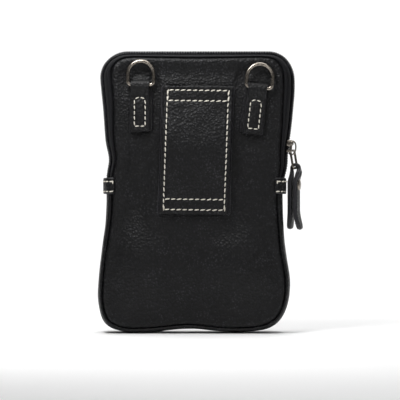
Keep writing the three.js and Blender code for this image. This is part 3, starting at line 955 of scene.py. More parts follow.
@dataclass(frozen=True)
class Outline:
    """The pouch's outline seen from the back, as the line that the edge pieces follow.

    Half of it runs from the base's middle: straight, a base corner, a long waist curve to the
    foot of the zip, the straight stretch that the slider runs on, a shoulder, a top corner and
    straight to the top's middle.
    """

    height: float = 180.0
    half_top: float = 62.0
    half_base: float = 61.0
    foot: tuple[float, float] = (57.0, 98.5)
    head: tuple[float, float] = (61.4, 148.0)
    top_corner: float = 18.0
    base_corner: float = 26.0
    stations: int = 460
    # Heights, and how far each side has moved to the right there.
    lean_z: tuple[float, ...] = (
        0.0, 20.0, 35.0, 52.0, 66.0, 80.0, 94.0, 104.0, 117.0, 130.0, 148.0, 162.0, 170.0, 180.0,
    )
    left_x: tuple[float, ...] = (
        -2.3, -1.6, -1.6, -1.2, -0.5, -0.4, -1.0, 0.1, 0.9, 1.2, 1.5, 0.7, 0.1, 0.8,
    )
    right_x: tuple[float, ...] = (
        -1.1, -1.6, -0.3, -2.1, -1.6, -1.1, -1.0, 0.1, 0.5, 1.4, 1.5, 1.5, 0.8, 2.6,
    )
    base_rise: float = 2.6
    zip_end_dip: tuple[float, float] = (1.7, -0.8)
    corner_out: tuple[float, float] = (2.9, 0.9)

    def half(self) -> Array:
        """The right half, from the base's middle to the top's middle.

        Returns:
            Points (x, z), closely spaced.
        """
        foot = np.array(self.foot)
        head = np.array(self.head)
        along = unit(head - foot)
        low = np.array([self.half_base, self.base_corner])
        high = np.array([self.half_top, self.height - self.top_corner])
        waist = (foot[1] - low[1]) * 0.32
        shoulder = (high[1] - head[1]) * 0.35
        parts = [
            np.array([[0.0, 0.0]]),
            arc(low[0] - low[1], low[1], self.base_corner, self.base_corner, -90, 0, 60),
            cubic(low, low + [0, waist], foot - along * waist, foot, 120),
            cubic(head, head + along * shoulder, high - [0, shoulder], high, 40),
            arc(high[0] - self.top_corner, high[1], self.top_corner, self.top_corner, 0, 90, 60),
            np.array([[0.0, self.height]]),
        ]
        return np.concatenate(parts)

    def ring(self) -> tuple[Array, Array, Array]:
        """The whole outline, evenly spaced, from the base's middle up the right side and round.

        Returns:
            Points (x, z), unit vectors inwards, and each point's share of its half, 0 at the
            base's middle and 1 at the top's middle.
        """
        right = evenly(self.half(), self.stations // 2 + 1)
        left = right[-2:0:-1] * [-1.0, 1.0]
        points = np.concatenate([right, left])
        tangent = unit(np.roll(points, -1, axis=0) - np.roll(points, 1, axis=0))
        inward = np.stack([-tangent[:, 1], tangent[:, 0]], axis=1)
        share = np.linspace(0.0, 1.0, len(right))
        return points, inward, np.concatenate([share, share[-2:0:-1]])

    def settle(self, points: Array) -> Array:
        """How the real pouch sits: it leans a little and its base lifts between the corners. By the
        zip's ends its left side draws in and its right side stands out.

        Args:
            points: Points (x, y, z).
        Returns:
            The moved points.
        """
        x, z = points[..., 0], points[..., 2]
        # The mean of each table over a short window, so that the sides bend without kinks.
        window = (-6.0, -3.0, 0.0, 3.0, 6.0)
        left, right = (
            np.mean([np.interp(z + d, self.lean_z, table) for d in window], axis=0)
            for table in (self.left_x, self.right_x)
        )
        lean = left + (right - left) * smooth((x + 50.0) / 100.0)
        low = 1.0 - smooth(z / 34.0)
        rise = self.base_rise * (bell(x + 3.0, 17.0) + 0.25 * bell(x - 39.0, 9.0)) * low
        dip = np.where(x < 0, self.zip_end_dip[0], self.zip_end_dip[1])
        zip_end = np.where(x < 0, 111.0, 106.0)
        at_side = smooth((np.abs(x) - 30.0) / 25.0) * np.sign(x)
        draw_in = dip * bell(z - zip_end, 7.5) * at_side
        # Each base corner is filled a little squarer than a true arc, the left one more.
        out_by = np.where(x < 0, self.corner_out[0], self.corner_out[1])
        fill = out_by * bell(np.hypot(np.abs(x) - 53.0, z - 8.0), 11.5) * 0.72
        out = points.copy()
        out[..., 0] = x + lean - draw_in + fill * np.sign(x)
        out[..., 2] = np.maximum(z + rise - fill, np.minimum(z, 0.0))
        return out


@dataclass
class Edge:
    """The outline with what every edge piece needs: its stations, and the seam's distance in."""

    outline: Outline = field(default_factory=Outline)
    seam_at: tuple[float, ...] = (0.0, 0.13, 0.2, 0.27, 0.4, 0.53, 0.62, 0.7, 0.75, 0.8, 0.86, 1.0)
    seam_in: tuple[float, ...] = (3.3, 3.5, 3.6, 3.6, 3.9, 4.5, 6.2, 7.6, 7.6, 6.2, 4.7, 5.4)

    def __post_init__(self) -> None:
        """Works out the ring once."""
        self.points, self.inward, self.share = self.outline.ring()
        self.inset = np.interp(self.share, self.seam_at, self.seam_in)

    def between(self, low: float, over_top: bool) -> Array:
        """Station numbers of one run of the edge that ends at a height on both sides.

        Args:
            low: Height of the two ends.
            over_top: True for the run over the top, False for the one round the base.
        Returns:
            The station numbers, in order.
        """
        inside = self.points[:, 1] >= low if over_top else self.points[:, 1] <= low
        numbers = np.arange(len(self.points))[inside]
        if over_top:
            return numbers
        half = len(self.points) // 2
        return np.concatenate([numbers[numbers > half], numbers[numbers <= half]])

    def carry(self, at: Array, section: Array) -> Array:
        """Carries a section along the edge: point = outline + inward * n, at depth y.

        Args:
            at: Station numbers.
            section: Section points (n, y) for each station, rows by columns by 2.
        Returns:
            Grid of rows by columns by 3, settled as the pouch sits.
        """
        n, y = section[..., 0], section[..., 1]
        x = self.points[at, 0][:, None] + self.inward[at, 0][:, None] * n
        z = self.points[at, 1][:, None] + self.inward[at, 1][:, None] * n
        return self.outline.settle(np.stack([x, y, z], axis=-1))


# ------------------------------------------------------------------ shell


@dataclass
class Panel:
    """A flat leather panel of the shell, turned in at its edge where the seam draws it down."""

    edge: Edge
    side: Side
    face: float = 13.5
    thick: float = 1.6
    roll: float = 2.6
    roll_drop: float = 1.9
    swell: float = 3.7
    dent: float = 0.5
    rows: int = 84
    middle: tuple[float, float] = (0.0, 92.0)
    flat_rim: float = 13.0

    def relief(self, x: Array, z: Array) -> Array:
        """How far the face stands out: a soft swell, slow dents, and nothing under the sewn-on parts.

        Args:
            x: Across the pouch.
            z: Height.
        Returns:
            Distance out of the flat face.
        """
        dents = ripple(x, z, 9, 70.0, 16.0, SEED + self.side.value) * self.dent
        if self.side is Side.FRONT:
            body = self.swell * (1 - smooth(np.hypot(x / 56.0, (z - 88.0) / 86.0)) * 0.8)
            return body + dents
        # Two full cheeks below the loop, with a shallow middle between them.
        cheeks = self.swell * (bell(x + 35.0, 16.0) + bell(x - 30.0, 18.0)) * bell(z - 43.0, 18.0)
        low = cheeks + 0.9 * bell(x - 2.0, 36.0) * bell(z - 36.0, 26.0)
        # The loop's seams draw the leather in: it falls away to the left of it, and rises to its right.
        flanks = -2.6 * bell(x + 39.0, 9.5) * bell(z - 98.0, 26.0)
        flanks = flanks - 2.2 * bell(x - 27.0, 8.0) * bell(z - 100.0, 30.0)
        flanks = flanks + 1.2 * bell(x - 44.0, 8.0) * bell(z - 96.0, 24.0)
        top = -3.6 * smooth((z - 146.0) / 27.0)
        hollow = -0.8 * bell(np.abs(x) - 30.0, 9.0) * bell(z - 70.0, 11.0)
        # The leather lies flat behind the loop, and nearly flat under the two ring straps.
        clear_x = smooth((np.abs(x) - 20.0) / 9.0)
        clear_z = np.maximum(smooth((76.0 - z) / 22.0), smooth((z - 156.0) / 20.0))
        free = np.maximum(clear_x, clear_z)
        strap_z = smooth((z - 118.0) / 8.0) * (1 - smooth((z - 160.0) / 8.0))
        strap = bell(np.abs(x) - 36.5, 9.0) * strap_z
        return (low + flanks + top + hollow + dents) * free * (1.0 - 0.85 * strap)

    def puckers(self, share: Array, depth_in: Array) -> Array:
        """Short creases across the seam, fading inwards: sin waves along the edge times a decay.

        Args:
            share: Where along the edge.
            depth_in: Distance in from the rolled edge.
        Returns:
            Distance out of the face.
        """
        wave = np.sin(share * 300.0) * 0.5 + np.sin(share * 190.0 + 2.0) * 0.5
        tight = 0.35 + 0.65 * (bell(share - 0.2, 0.1) + bell(share - 0.83, 0.07))
        return 0.16 * wave * tight * np.exp(-depth_in / 5.0)

    def grid(self) -> Array:
        """The whole closed panel: middle to edge on the outside, over the rolled edge, and back.

        Returns:
            Grid of rows by columns by 3; a row is a closed ring.
        """
        edge = self.edge
        start = edge.points + edge.inward * (edge.inset + self.roll)[:, None]
        middle = np.array(self.middle)
        # Rings from the middle to the edge: a third of them far apart, the others close together.
        far_apart = np.linspace(0.015, 0.6, self.rows // 3)
        r = np.concatenate([far_apart, np.linspace(0.61, 1.0, 2 * self.rows // 3)])
        flat = middle + (start - middle) * r[:, None, None]
        reach = np.linalg.norm(start - middle, axis=1)
        depth_in = (1.0 - r)[:, None] * reach[None]
        x, z = flat[..., 0], flat[..., 1]
        out = self.relief(x, z) * smooth(depth_in / self.flat_rim)
        out = out + self.puckers(edge.share[None], depth_in)
        face = np.stack([x, self.face + out, z], axis=-1)
        a = np.linspace(0.0, math.pi / 2.0, 9)[1:]
        n = edge.inset[None] + self.roll * (1.0 - np.sin(a))[:, None]
        y_edge = face[-1, :, 1][None] - self.roll_drop * (1.0 - np.cos(a))[:, None]
        rolled = edge.points[None] + edge.inward[None] * n[..., None]
        rolled = np.stack([rolled[..., 0], y_edge, rolled[..., 1]], axis=-1)
        back_r = np.concatenate([[0.9999], np.linspace(0.985, 0.015, 12)])
        inner = middle + (start - middle) * back_r[:, None, None]
        inner_y = np.full(inner.shape[:2], self.face - self.thick)
        inner = np.stack([inner[..., 0], inner_y, inner[..., 1]], axis=-1)
        points = np.concatenate([face, rolled, inner])
        points[..., 1] *= self.side.value
        return edge.outline.settle(points)


@dataclass
class Shell:
    """The sewn leather shell: two panels, the base gusset between them, and the linings."""

    edge: Edge
    finishes: Finishes
    gusset_top: float = 95.5
    gusset_leather: float = 1.4
    lining: float = 0.5
    seam_depth: float = 12.9
    slack: float = 0.28
    squareness: float = 2.7
    # Heights in metres between which the front bends at the mouth.
    bend: tuple[float, float] = (0.0945, 0.1125)
    lining_face: float = 11.6
    lining_in: float = 1.2
    lining_lift: float = 1.75
    lining_depth: float = 11.1

    def panels(self) -> None:
        """Makes the back panel and the one-piece front panel, which runs across the fold at the mouth."""
        leather = self.finishes.leather
        back = MeshParts()
        back.grid(Panel(self.edge, Side.BACK).grid(), wrap_v=True, capped=True)
        dress(back.build("back_panel_leather", [leather]), Body.POUCH, ["back_panel"])
        front = MeshParts()
        front.grid(Panel(self.edge, Side.FRONT, swell=3.2, dent=0.35).grid(), wrap_v=True, capped=True)
        dress(
            front.build("front_panel_leather", [leather]), Body.POUCH,
            ["front_panel_lower", "front_panel_upper"], bend=self.bend,
        )

    def linings(self) -> None:
        """Makes the cloth glued inside each panel, a little smaller than the leather."""
        cloth = self.finishes.lining
        nodes = {
            Side.BACK: ["back_lining"],
            Side.FRONT: ["front_lining_lower", "front_lining_upper"],
        }
        for side in Side:
            sheet = Panel(
                self.edge, side, face=self.lining_face, thick=self.lining, roll=0.8, roll_drop=0.3,
                swell=0.0, dent=0.0, rows=36,
            )
            parts = MeshParts()
            grid = sheet.grid()
            parts.grid(grid, wrap_v=True, capped=True, uv=grid[..., [0, 2]])
            piece = parts.build(f"{side.name.lower()}_lining_cloth", [cloth])
            bend = self.bend if side is Side.FRONT else None
            dress(piece, Body.POUCH, nodes[side], bend=bend)

    def arch(self, inset: Array, lift: float, thick: float, count: int = 44, roll: float = 0.9) -> Array:
        """Closed section of a band between the two seams: a superellipse with rolled-in ends.

        n = lift + (inset - lift)(1 - |cos a|^(2/p)) and y = depth |sin a|^(2/p), a from -90 to 90
        degrees; the ends then dip by roll into the seam, and the inside is a thickness further in.

        Args:
            inset: Seam's distance in from the outline, one for each station.
            lift: Distance in of the band's flat middle.
            thick: Thickness.
            count: Points over the outside.
            roll: How deep the ends dip.
        Returns:
            Section points (n, y), stations by columns by 2.
        """
        a = np.linspace(-0.5, 0.5, count) * math.pi
        power = 2.0 / self.squareness
        n_share = 1.0 - np.abs(np.cos(a)) ** power
        y = np.sign(a) * self.seam_depth * np.abs(np.sin(a)) ** power
        dip = roll * smooth((n_share - 0.72) / 0.28) * np.sign(y)
        n_out = lift + (inset[:, None] - lift) * n_share
        y_out = np.broadcast_to(y - dip, n_out.shape)
        n_in = n_out[:, ::-1] + thick * (1.0 - 0.4 * n_share[::-1])
        y_in = (y_out * (1.0 - thick / self.seam_depth))[:, ::-1]
        n = np.concatenate([n_out, n_in], axis=1)
        y = np.concatenate([y_out, y_in], axis=1)
        return np.stack([n, y], axis=-1)

    def gusset(self) -> None:
        """Makes the leather band round the base and sides, up to under the end tabs, and its lining."""
        at = self.edge.between(self.gusset_top, over_top=False)
        inset = self.edge.inset[at] - 0.25
        section = self.arch(inset, 0.0, self.gusset_leather)
        half = section.shape[1] // 2
        walk = lengths_along(self.edge.points[at])
        # Slack leather: slow uneven waves over the band, none where the seams hold it.
        waves = self.slack * (0.6 + ripple(walk[:, None], section[:, :half, 1], 8, 60.0, 15.0, SEED + 3))
        section[:, :half, 0] += waves * np.cos(np.linspace(-0.5, 0.5, half) * math.pi)[None] ** 1.5
        parts = MeshParts()
        parts.grid(self.edge.carry(at, section), wrap_v=True, capped=True)
        dress(parts.build("gusset_leather", [self.finishes.leather]), Body.POUCH, ["gusset"])
        inner = self.arch(inset + self.lining_in, self.lining_lift, self.lining)
        inner[..., 1] *= self.lining_depth / self.seam_depth
        cloth = MeshParts()
        cloth.grid(self.edge.carry(at, inner), wrap_v=True, capped=True)
        piece = cloth.build("gusset_lining_cloth", [self.finishes.lining])
        dress(piece, Body.POUCH, ["gusset_lining"])

    def build(self) -> None:
        """Makes every piece of the shell."""
        self.panels()
        self.linings()
        self.gusset()


# ------------------------------------------------------------------ zip


@dataclass
class Zip:
    """The coil zip over the top: two woven tapes, two rows of coil, and a leather tab at each end."""

    edge: Edge
    finishes: Finishes
    shell: Shell
    tape: float = 0.8
    tape_in: float = 2.6
    ends: float = 94.2
    pitch: float = 1.6
    tooth_wide: float = 1.12
    coil_height: float = 2.3
    tooth_from: float = 0.16
    tooth_to: float = 3.3
    parted: float = 0.75
    part_below: float = 124.0
    part_over: float = 12.0
    skew: float = 0.10
    core: float = 1.0
    core_in: float = 1.7
    core_deep: float = 2.0
    tape_edge: float = 0.7
    tab_low: float = 88.5
    tab_high: float = 98.8
    tab_leather: float = 1.5
    tab_out: float = 0.8
    tab_depth: float = 13.3
    tab_tuck: float = 0.35
    tab_past_seam: float = 2.0
    tab_squareness: float = 2.6
    tab_sides: int = 30
    seam_up: float = 1.6
    seam_down: float = 2.4
    seam_out: float = 1.55
    stitch_pitch: float = 3.4
    thread: float = 0.8
    lock_length: float = 2.2

    def tapes(self) -> None:
        """Makes the back tape, and the front tape on the mouth's opening side."""
        at = self.edge.between(self.ends, over_top=True)
        whole = self.shell.arch(self.edge.inset[at] - 0.2, self.tape_in, self.tape, count=60, roll=1.2)
        half = whole.shape[1] // 2
        ends = half // 2
        outer, inner = whole[:, :half], whole[:, half:]
        for side in Side:
            keep = slice(0, ends) if side is Side.BACK else slice(ends, half)
            mate = slice(half - ends, half) if side is Side.BACK else slice(0, half - ends)
            section = np.concatenate([outer[:, keep], inner[:, mate]], axis=1)
            # Each tape stops short of the middle plane.
            y = section[..., 1]
            section[..., 1] = np.where(np.abs(y) < self.tape_edge, side.value * self.tape_edge, y)
            parts = MeshParts()
            grid = self.edge.carry(at, section)
            parts.grid(grid, wrap_v=True, capped=True)
            piece = parts.build(f"zip_tape_{side.name.lower()}_woven", [self.finishes.tape])
            bend = self.shell.bend if side is Side.FRONT else None
            dress(piece, Body.POUCH, [f"zip_tape_{side.name.lower()}"], bend=bend)

    def coils(self) -> None:
        """Makes the two rows of coil: one small rounded loop every pitch, the rows half a pitch apart."""
        at = self.edge.between(self.ends, over_top=True)
        line = self.edge.points[at]
        inward = self.edge.inward[at]
        run = lengths_along(line)
        for side in Side:
            shift = 0.25 if side is Side.BACK else 0.75
            where = (np.arange(int(run[-1] / self.pitch) - 1) + shift) * self.pitch
            spot = sampled(where, run, line)
            normal = unit(sampled(where, run, inward))
            # Rows part between the slider and the right-hand tab.
            below = smooth((self.part_below - spot[:, 1]) / self.part_over)
            open_by = self.parted * below * (spot[:, 0] > 0)
            start = self.tooth_from + open_by
            middle_y = side.value * (start + self.tooth_to) / 2.0
            middle = spot + normal * (self.coil_height / 2.0)
            centres = np.stack([middle[:, 0], middle_y, middle[:, 1]], axis=1)
            centres = self.edge.outline.settle(centres)
            up = np.stack([-normal[:, 0], np.zeros(len(normal)), -normal[:, 1]], axis=1)
            along = np.tile(DEEP, (len(centres), 1))
            tangent = np.cross(up, along)
            along = unit(along + tangent * self.skew * side.value)
            teeth = capsules(
                centres, along, up, self.tooth_to - start, self.tooth_wide, self.coil_height,
                rings=6, round_it=8, power=4.0,
            )
            parts = MeshParts()
            parts.copies(teeth)
            # The core cord that the coil is wound on, hidden but for what shows between the loops.
            core = line + inward * self.core_in
            deep = np.full(len(at), side.value * self.core_deep)
            cord = self.edge.outline.settle(np.stack([core[:, 0], deep, core[:, 1]], axis=1))
            parts.grid(wire(cord, self.core, False, 8), wrap_v=True, capped=True)
            piece = parts.build(f"zip_coil_{side.name.lower()}_teeth", [self.finishes.coil])
            bend = self.shell.bend if side is Side.FRONT else None
            dress(piece, Body.POUCH, [f"zip_coil_{side.name.lower()}"], bend=bend)

    def tab_line(self, sign: int, height: float, out: float) -> tuple[Array, Array]:
        """The line that an end tab follows from the back seam round the side to the front seam.

        Args:
            sign: 1 for the right-hand tab, -1 for the left-hand one.
            height: Height of the line.
            out: How far it stands off the band.
        Returns:
            Points, and unit vectors outwards.
        """
        above_corner = self.edge.outline.half()[80:]
        x = float(np.interp(height, above_corner[:, 1], above_corner[:, 0]))
        right = len(self.edge.points) // 2
        share = float(np.interp(height, self.edge.points[:right, 1], self.edge.share[:right]))
        inset = float(np.interp(share, self.edge.seam_at, self.edge.seam_in)) + self.tab_past_seam
        a = np.linspace(-0.5, 0.5, 61) * math.pi
        power = 2.0 / self.tab_squareness
        n = -self.tab_tuck + inset * (1.0 - np.abs(np.cos(a)) ** power)
        y = np.sign(a) * self.tab_depth * np.abs(np.sin(a)) ** power
        line = np.stack([sign * (x - n), y, np.full(len(a), height)], axis=1)
        line = evenly(line, 61)
        tangent = unit(np.gradient(line, axis=0))
        outward = unit(np.cross(tangent, UPWARD)) * sign
        outward = outward * np.sign(np.sum(outward * [sign, 0, 0], axis=1).sum())
        return self.edge.outline.settle(line + outward * out), outward

    def tabs(self) -> None:
        """Makes the leather tab over each end of the zip, with its two rows of stitches."""
        middle = (self.tab_low + self.tab_high) / 2.0
        for sign, name in ((-1, "left"), (1, "right")):
            line, _ = self.tab_line(sign, middle, self.tab_out)
            band = strip(
                line, UPWARD, self.tab_high - self.tab_low, self.tab_leather,
                corner=0.8, crown=0.35, edge=0.5, sides=self.tab_sides, soft=0.9,
            )
            parts = MeshParts()
            parts.grid(band, wrap_v=True, capped=True, tint=edge_tints(self.tab_sides))
            piece = parts.build(f"zip_end_tab_{name}_leather", self.finishes.leathers, 1)
            dress(piece, Body.POUCH, [f"zip_end_tab_{name}"])
            rows = MeshParts()
            for height in (self.tab_low + self.seam_up, self.tab_high - self.seam_down):
                row, out = self.tab_line(sign, height, self.seam_out)
                on_tab, up = row[1:-1], out[1:-1]
                rows.copies(seam(on_tab, up, self.stitch_pitch, self.thread, slant=3.0, fill=0.84))
            # One upright stitch locks the upper row where it meets the back seam.
            lock = row[2:3] + out[2:3] * 0.12 + np.array([0.0, 0.0, -0.5])
            rows.copies(capsules(lock, UPWARD, out[2:3], self.lock_length, self.thread, self.thread))
            piece = rows.build(f"zip_end_thread_{name}_stitches", [self.finishes.thread])
            dress(piece, Body.POUCH, [f"zip_end_thread_{name}"])

    def build(self) -> None:
        """Makes every piece of the zip that is sewn to the pouch."""
        self.tapes()
        self.coils()
        self.tabs()


# ------------------------------------------------------------------ slider and pull


@dataclass
class Slider:
    """The cast zip slider: outer and inner plates, a turned-in flange, a web and the bridge."""

    finishes: Finishes
    centre: Point = (58.787, 0.0, 118.6)
    tilt: float = 5.08
    length: float = 9.5
    half_width: float = 4.2
    outer: tuple[float, float] = (0.9, 2.8)
    inner: tuple[float, float] = (-4.9, -4.0)
    bridge_rise: float = 5.6
    bridge_width: float = 2.3
    bridge_thick: float = 0.95
    bridge_half: float = 4.35
    bridge_drop: float = 0.3
    # The flange's two lengths: lower end, upper end, and how far each reaches in.
    flanges: tuple[Point, ...] = ((0.5, 4.3, 3.1), (-3.5, -1.9, 2.9))
    flange_from: float = 1.7
    flange_deep: float = 4.3
    flange_thick: float = 0.9
    web: tuple[float, float] = (-4.3, 0.8)
    web_length: float = 6.2
    web_thick: float = 0.8

    def place(self, local: Array) -> Array:
        """Turns local points (outwards, depth, along the zip) to the pouch's frame.

        Args:
            local: Points in the slider's own axes.
        Returns:
            Points in the pouch's frame.
        """
        t = math.radians(self.tilt)
        outward = np.array([math.cos(t), 0.0, -math.sin(t)])
        along = np.array([math.sin(t), 0.0, math.cos(t)])
        depth = DEEP
        base = np.array(self.centre)
        return base + local[..., :1] * outward + local[..., 1:2] * depth + local[..., 2:] * along

    def plan(self, count: int = 72) -> Array:
        """The plate's outline: square shoulders below, a rounded nose above.

        Args:
            count: Number of points.
        Returns:
            Closed points (depth, along).
        """
        a = np.linspace(0.0, 2.0 * math.pi, count, endpoint=False)
        c, s = np.cos(a), np.sin(a)
        power = np.where(s < 0, 2.0 / 5.0, 2.0 / 2.3)
        y = self.half_width * np.sign(c) * np.abs(c) ** power
        z = self.length / 2.0 * np.sign(s) * np.abs(s) ** power
        return np.stack([y, z], axis=1)

    def plate(self, low: float, high: float, dome: float, shrink: float, bevel: float = 0.35) -> Array:
        """A plate between two distances out, with bevelled edges and a slightly domed outer face.

        Args:
            low: Inner face.
            high: Outer face.
            dome: How far the middle stands above the rim.
            shrink: Share that the plan is scaled by.
            bevel: Radius of the edges.
        Returns:
            Grid of rows by columns by 3 in the slider's axes.
        """
        rim = self.plan() * shrink
        a = np.linspace(0.0, math.pi / 2.0, 5)
        share = bevel / self.half_width
        domed = np.linspace(0.05, 0.94, 9)
        r = np.concatenate([
            domed, 1.0 - share * (1.0 - np.sin(a)), 1.0 - share * (1.0 - np.cos(a))[1:],
            np.linspace(0.9, 0.05, 5),
        ])
        n = np.concatenate([
            high - dome + dome * (1.0 - domed**2), high - dome - bevel * (1.0 - np.cos(a)),
            low + bevel * (1.0 - np.sin(a))[1:], np.full(5, low),
        ])
        flat = rim[None] * r[:, None, None]
        out = np.broadcast_to(n[:, None], flat.shape[:2]).copy()
        # The bridge's root is a raised boss towards the nose.
        boss = smooth((flat[..., 1] - 0.6) / 1.8) * smooth((1.0 - r[:, None]) / 0.25)
        on_top = np.arange(len(r))[:, None] < len(domed) + len(a)
        out += np.where(on_top, dome * 3.2 * boss, 0.0)
        return np.concatenate([out[..., None], flat], axis=-1)

    def build(self) -> None:
        """Makes the slider and hangs it on its own body."""
        parts = MeshParts()
        outer = self.plate(*self.outer, dome=0.25, shrink=1.0)
        inner = self.plate(*self.inner, dome=0.0, shrink=0.98, bevel=0.3)
        shapes = [outer, inner]
        # Flange on the back edge, cast in two lengths with a gap, from the outer plate inwards.
        for low, high, deep in self.flanges:
            n = np.linspace(self.flange_from, self.flange_from - deep, 16)
            path = np.stack([n, np.full(16, -self.flange_deep), np.full(16, (low + high) / 2)], axis=1)
            shapes.append(strip(
                path, UPWARD, high - low, self.flange_thick,
                corner=0.8, edge=0.3, crown=0.55, sides=16, soft=0.5,
            ))
        web = np.stack([np.linspace(*self.web, 10), np.zeros(10), np.full(10, 0.2)], axis=1)
        shapes.append(strip(
            web, UPWARD, self.web_length, self.web_thick, corner=0.3, edge=0.3, sides=12, soft=0.2,
        ))
        # The bridge: a flattened arch from one root to the other.
        a = np.linspace(0.0, math.pi, 41)
        n = self.outer[1] - 0.45 + (self.bridge_rise - self.outer[1]) * np.sin(a) ** 0.75
        along = -self.bridge_drop + self.bridge_half * np.cos(a)
        arch = evenly(np.stack([n, np.zeros(41), along], axis=1), 41)
        shapes.append(strip(
            arch, DEEP, self.bridge_width, self.bridge_thick,
            corner=0.3, edge=0.3, crown=0.3, sides=12, soft=0.3,
        ))
        for shape in shapes:
            parts.grid(self.place(shape), wrap_v=True, capped=True)
        piece = parts.build("zip_slider_casting", [self.finishes.nickel])
        dress(piece, Body.SLIDER, ["zip_slider"])


@dataclass
class Pull:
    """The wire link and the leather pull: a strap folded through the link, in two thick leaves."""

    finishes: Finishes
    hang: Point = (61.648, 0.0, 116.338)
    pivot: Point = (63.529, 0.0, 105.094)
    link_width: float = 7.4
    link_wire: float = 1.5
    link_corner: float = 1.3
    leaf: float = 2.9
    neck_leaf: float = 2.1
    round_bar: float = 2.15
    gap: float = 0.7
    width: float = 11.0
    neck: float = 4.6
    drop: float = 39.4
    splay: float = 1.7
    turn: float = 15.0
    cap: float = 7.5
    rivet_drop: float = 10.6
    link_turn: float = 23.0
    pull_in: float = 0.9
    head: float = 1.3
    sides: int = 26
    foot: float = 2.7

    def link(self) -> None:
        """Makes the wire link: a long loop with rounded corners, seen nearly edge-on."""
        top = np.array(self.hang)
        low = np.array(self.pivot)
        length = float(np.linalg.norm(low - top))
        axis = (low - top) / length
        w = self.link_width / 2.0
        corner = self.link_corner
        loop = np.concatenate([
            arc(w - corner, corner, corner, corner, -90, 0, 9),
            arc(w - corner, length - corner, corner, corner, 0, 90, 9),
            arc(-w + corner, length - corner, corner, corner, 90, 180, 9),
            arc(-w + corner, corner, corner, corner, 180, 270, 9),
        ])
        loop = evenly(np.concatenate([loop, loop[:1]]), 97)[:-1]
        t = math.radians(self.link_turn)
        across = np.array([0.0, math.cos(t), 0.0]) + np.cross(axis, DEEP) * math.sin(t)
        path = top + axis * loop[:, 1:] + across * loop[:, :1]
        parts = MeshParts()
        face = np.cross(axis, across)
        parts.grid(wire(path, self.link_wire / 2.0, True, 14, face), wrap_u=True, wrap_v=True)
        dress(parts.build("pull_link_wire", [self.finishes.nickel]), Body.LINK, ["pull_link"])

    def twist(self, points: Array) -> Array:
        """Turns the leaves about the pull's own long axis, by nothing at the link and more below it.

        Args:
            points: Points in the pouch's frame.
        Returns:
            The turned points.
        """
        x0, _, z0 = self.pivot
        angle = np.radians(-self.turn) * smooth((z0 - 1.0 - points[..., 2]) / 9.0)
        dx, y = points[..., 0] - x0, points[..., 1]
        out = points.copy()
        hang_in = self.pull_in * smooth((z0 - points[..., 2]) / 9.0)
        out[..., 0] = x0 - hang_in + dx * np.cos(angle) - y * np.sin(angle)
        out[..., 1] = dx * np.sin(angle) + y * np.cos(angle)
        return out

    def leaves(self) -> None:
        """Makes the strap: up from the inner leaf's tip, over the link's lower bar, down the outer leaf."""
        x0, _, z0 = self.pivot
        mid = (self.leaf + self.gap) / 2.0
        low = z0 - self.drop
        bar = self.round_bar
        down = np.linspace(0.0, 1.0, 60)[1:]
        z = z0 - down * (z0 - low)
        drawn = bar + (mid - bar) * smooth(down * 8.0)
        stand = self.splay * smooth((down - 0.66) / 0.5) * 1.9
        outer = np.stack([x0 + drawn + stand, np.zeros(len(z)), z], axis=1)
        inner = np.stack([x0 - drawn - 0.25 * stand, np.zeros(len(z)), z + 0.3], axis=1)[::-1]
        over = arc(x0, z0, bar, bar, 180, 0, 21)
        over = np.stack([over[:, 0], np.zeros(len(over)), over[:, 1]], axis=1)
        path = np.concatenate([inner, over, outer])
        below = np.maximum(0.0, z0 - path[:, 2])
        width = self.neck + (self.width - self.neck) * smooth((below - 0.4) / 4.2)
        thick = self.neck_leaf + (self.leaf - self.neck_leaf) * smooth((below - 0.5) / 3.0)
        # The outer leaf starts in a full round head.
        head = self.head * bell(below - 3.6, 3.4) * (np.arange(len(path)) > len(inner) + 10)
        path[:, 0] += head / 2.0
        width = width + 4.2 * head / self.head * bell(below - 2.5, 3.0)
        band = strip(
            path, DEEP, np.minimum(width, self.width), thick + head,
            corner=4.6, layers=2, edge=0.55, crown=0.22, sides=self.sides, soft=1.1,
        )
        parts = MeshParts()
        parts.grid(self.twist(band), wrap_v=True, capped=True, tint=edge_tints(self.sides, 2))
        piece = parts.build("pull_strap_leather", self.finishes.leathers, 1)
        dress(piece, Body.PULL, ["pull_strap"])

    def rivet(self) -> None:
        """Makes the rivet: a domed cap on the outer leaf and a flat foot on the inner one.

        The dome's height falls as the square root of 1 - r^2 and ends in a short upright rim.
        """
        x0, _, z0 = self.pivot
        z = z0 - self.rivet_drop
        half = self.leaf + self.gap / 2.0
        a = np.linspace(0.0, 2.0 * math.pi, 48, endpoint=False)
        parts = MeshParts()
        for sign, radius, rise, sunk in ((1, self.cap / 2.0, 1.45, 0.55), (-1, self.foot, 0.5, 0.7)):
            t = np.linspace(0.06, 1.0, 14)
            r = np.concatenate([radius * np.sin(t * math.pi / 2), [radius, radius * 0.95, radius * 0.3]])
            h = np.concatenate([0.35 + (rise - 0.35) * np.cos(t * math.pi / 2), [0.0, -sunk, -sunk]])
            x = x0 + sign * (half - 0.12 + h)
            grid = np.stack([
                np.broadcast_to(x[:, None], (len(r), 48)),
                r[:, None] * np.cos(a)[None], z + r[:, None] * np.sin(a)[None],
            ], axis=-1)
            parts.grid(self.twist(grid), wrap_v=True, capped=True)
        dress(parts.build("pull_rivet_cap", [self.finishes.nickel]), Body.PULL, ["pull_rivet"])

    def build(self) -> None:
        """Makes the link, the leather and the rivet."""
        self.link()
        self.leaves()
        self.rivet()


# ------------------------------------------------------------------ belt loop


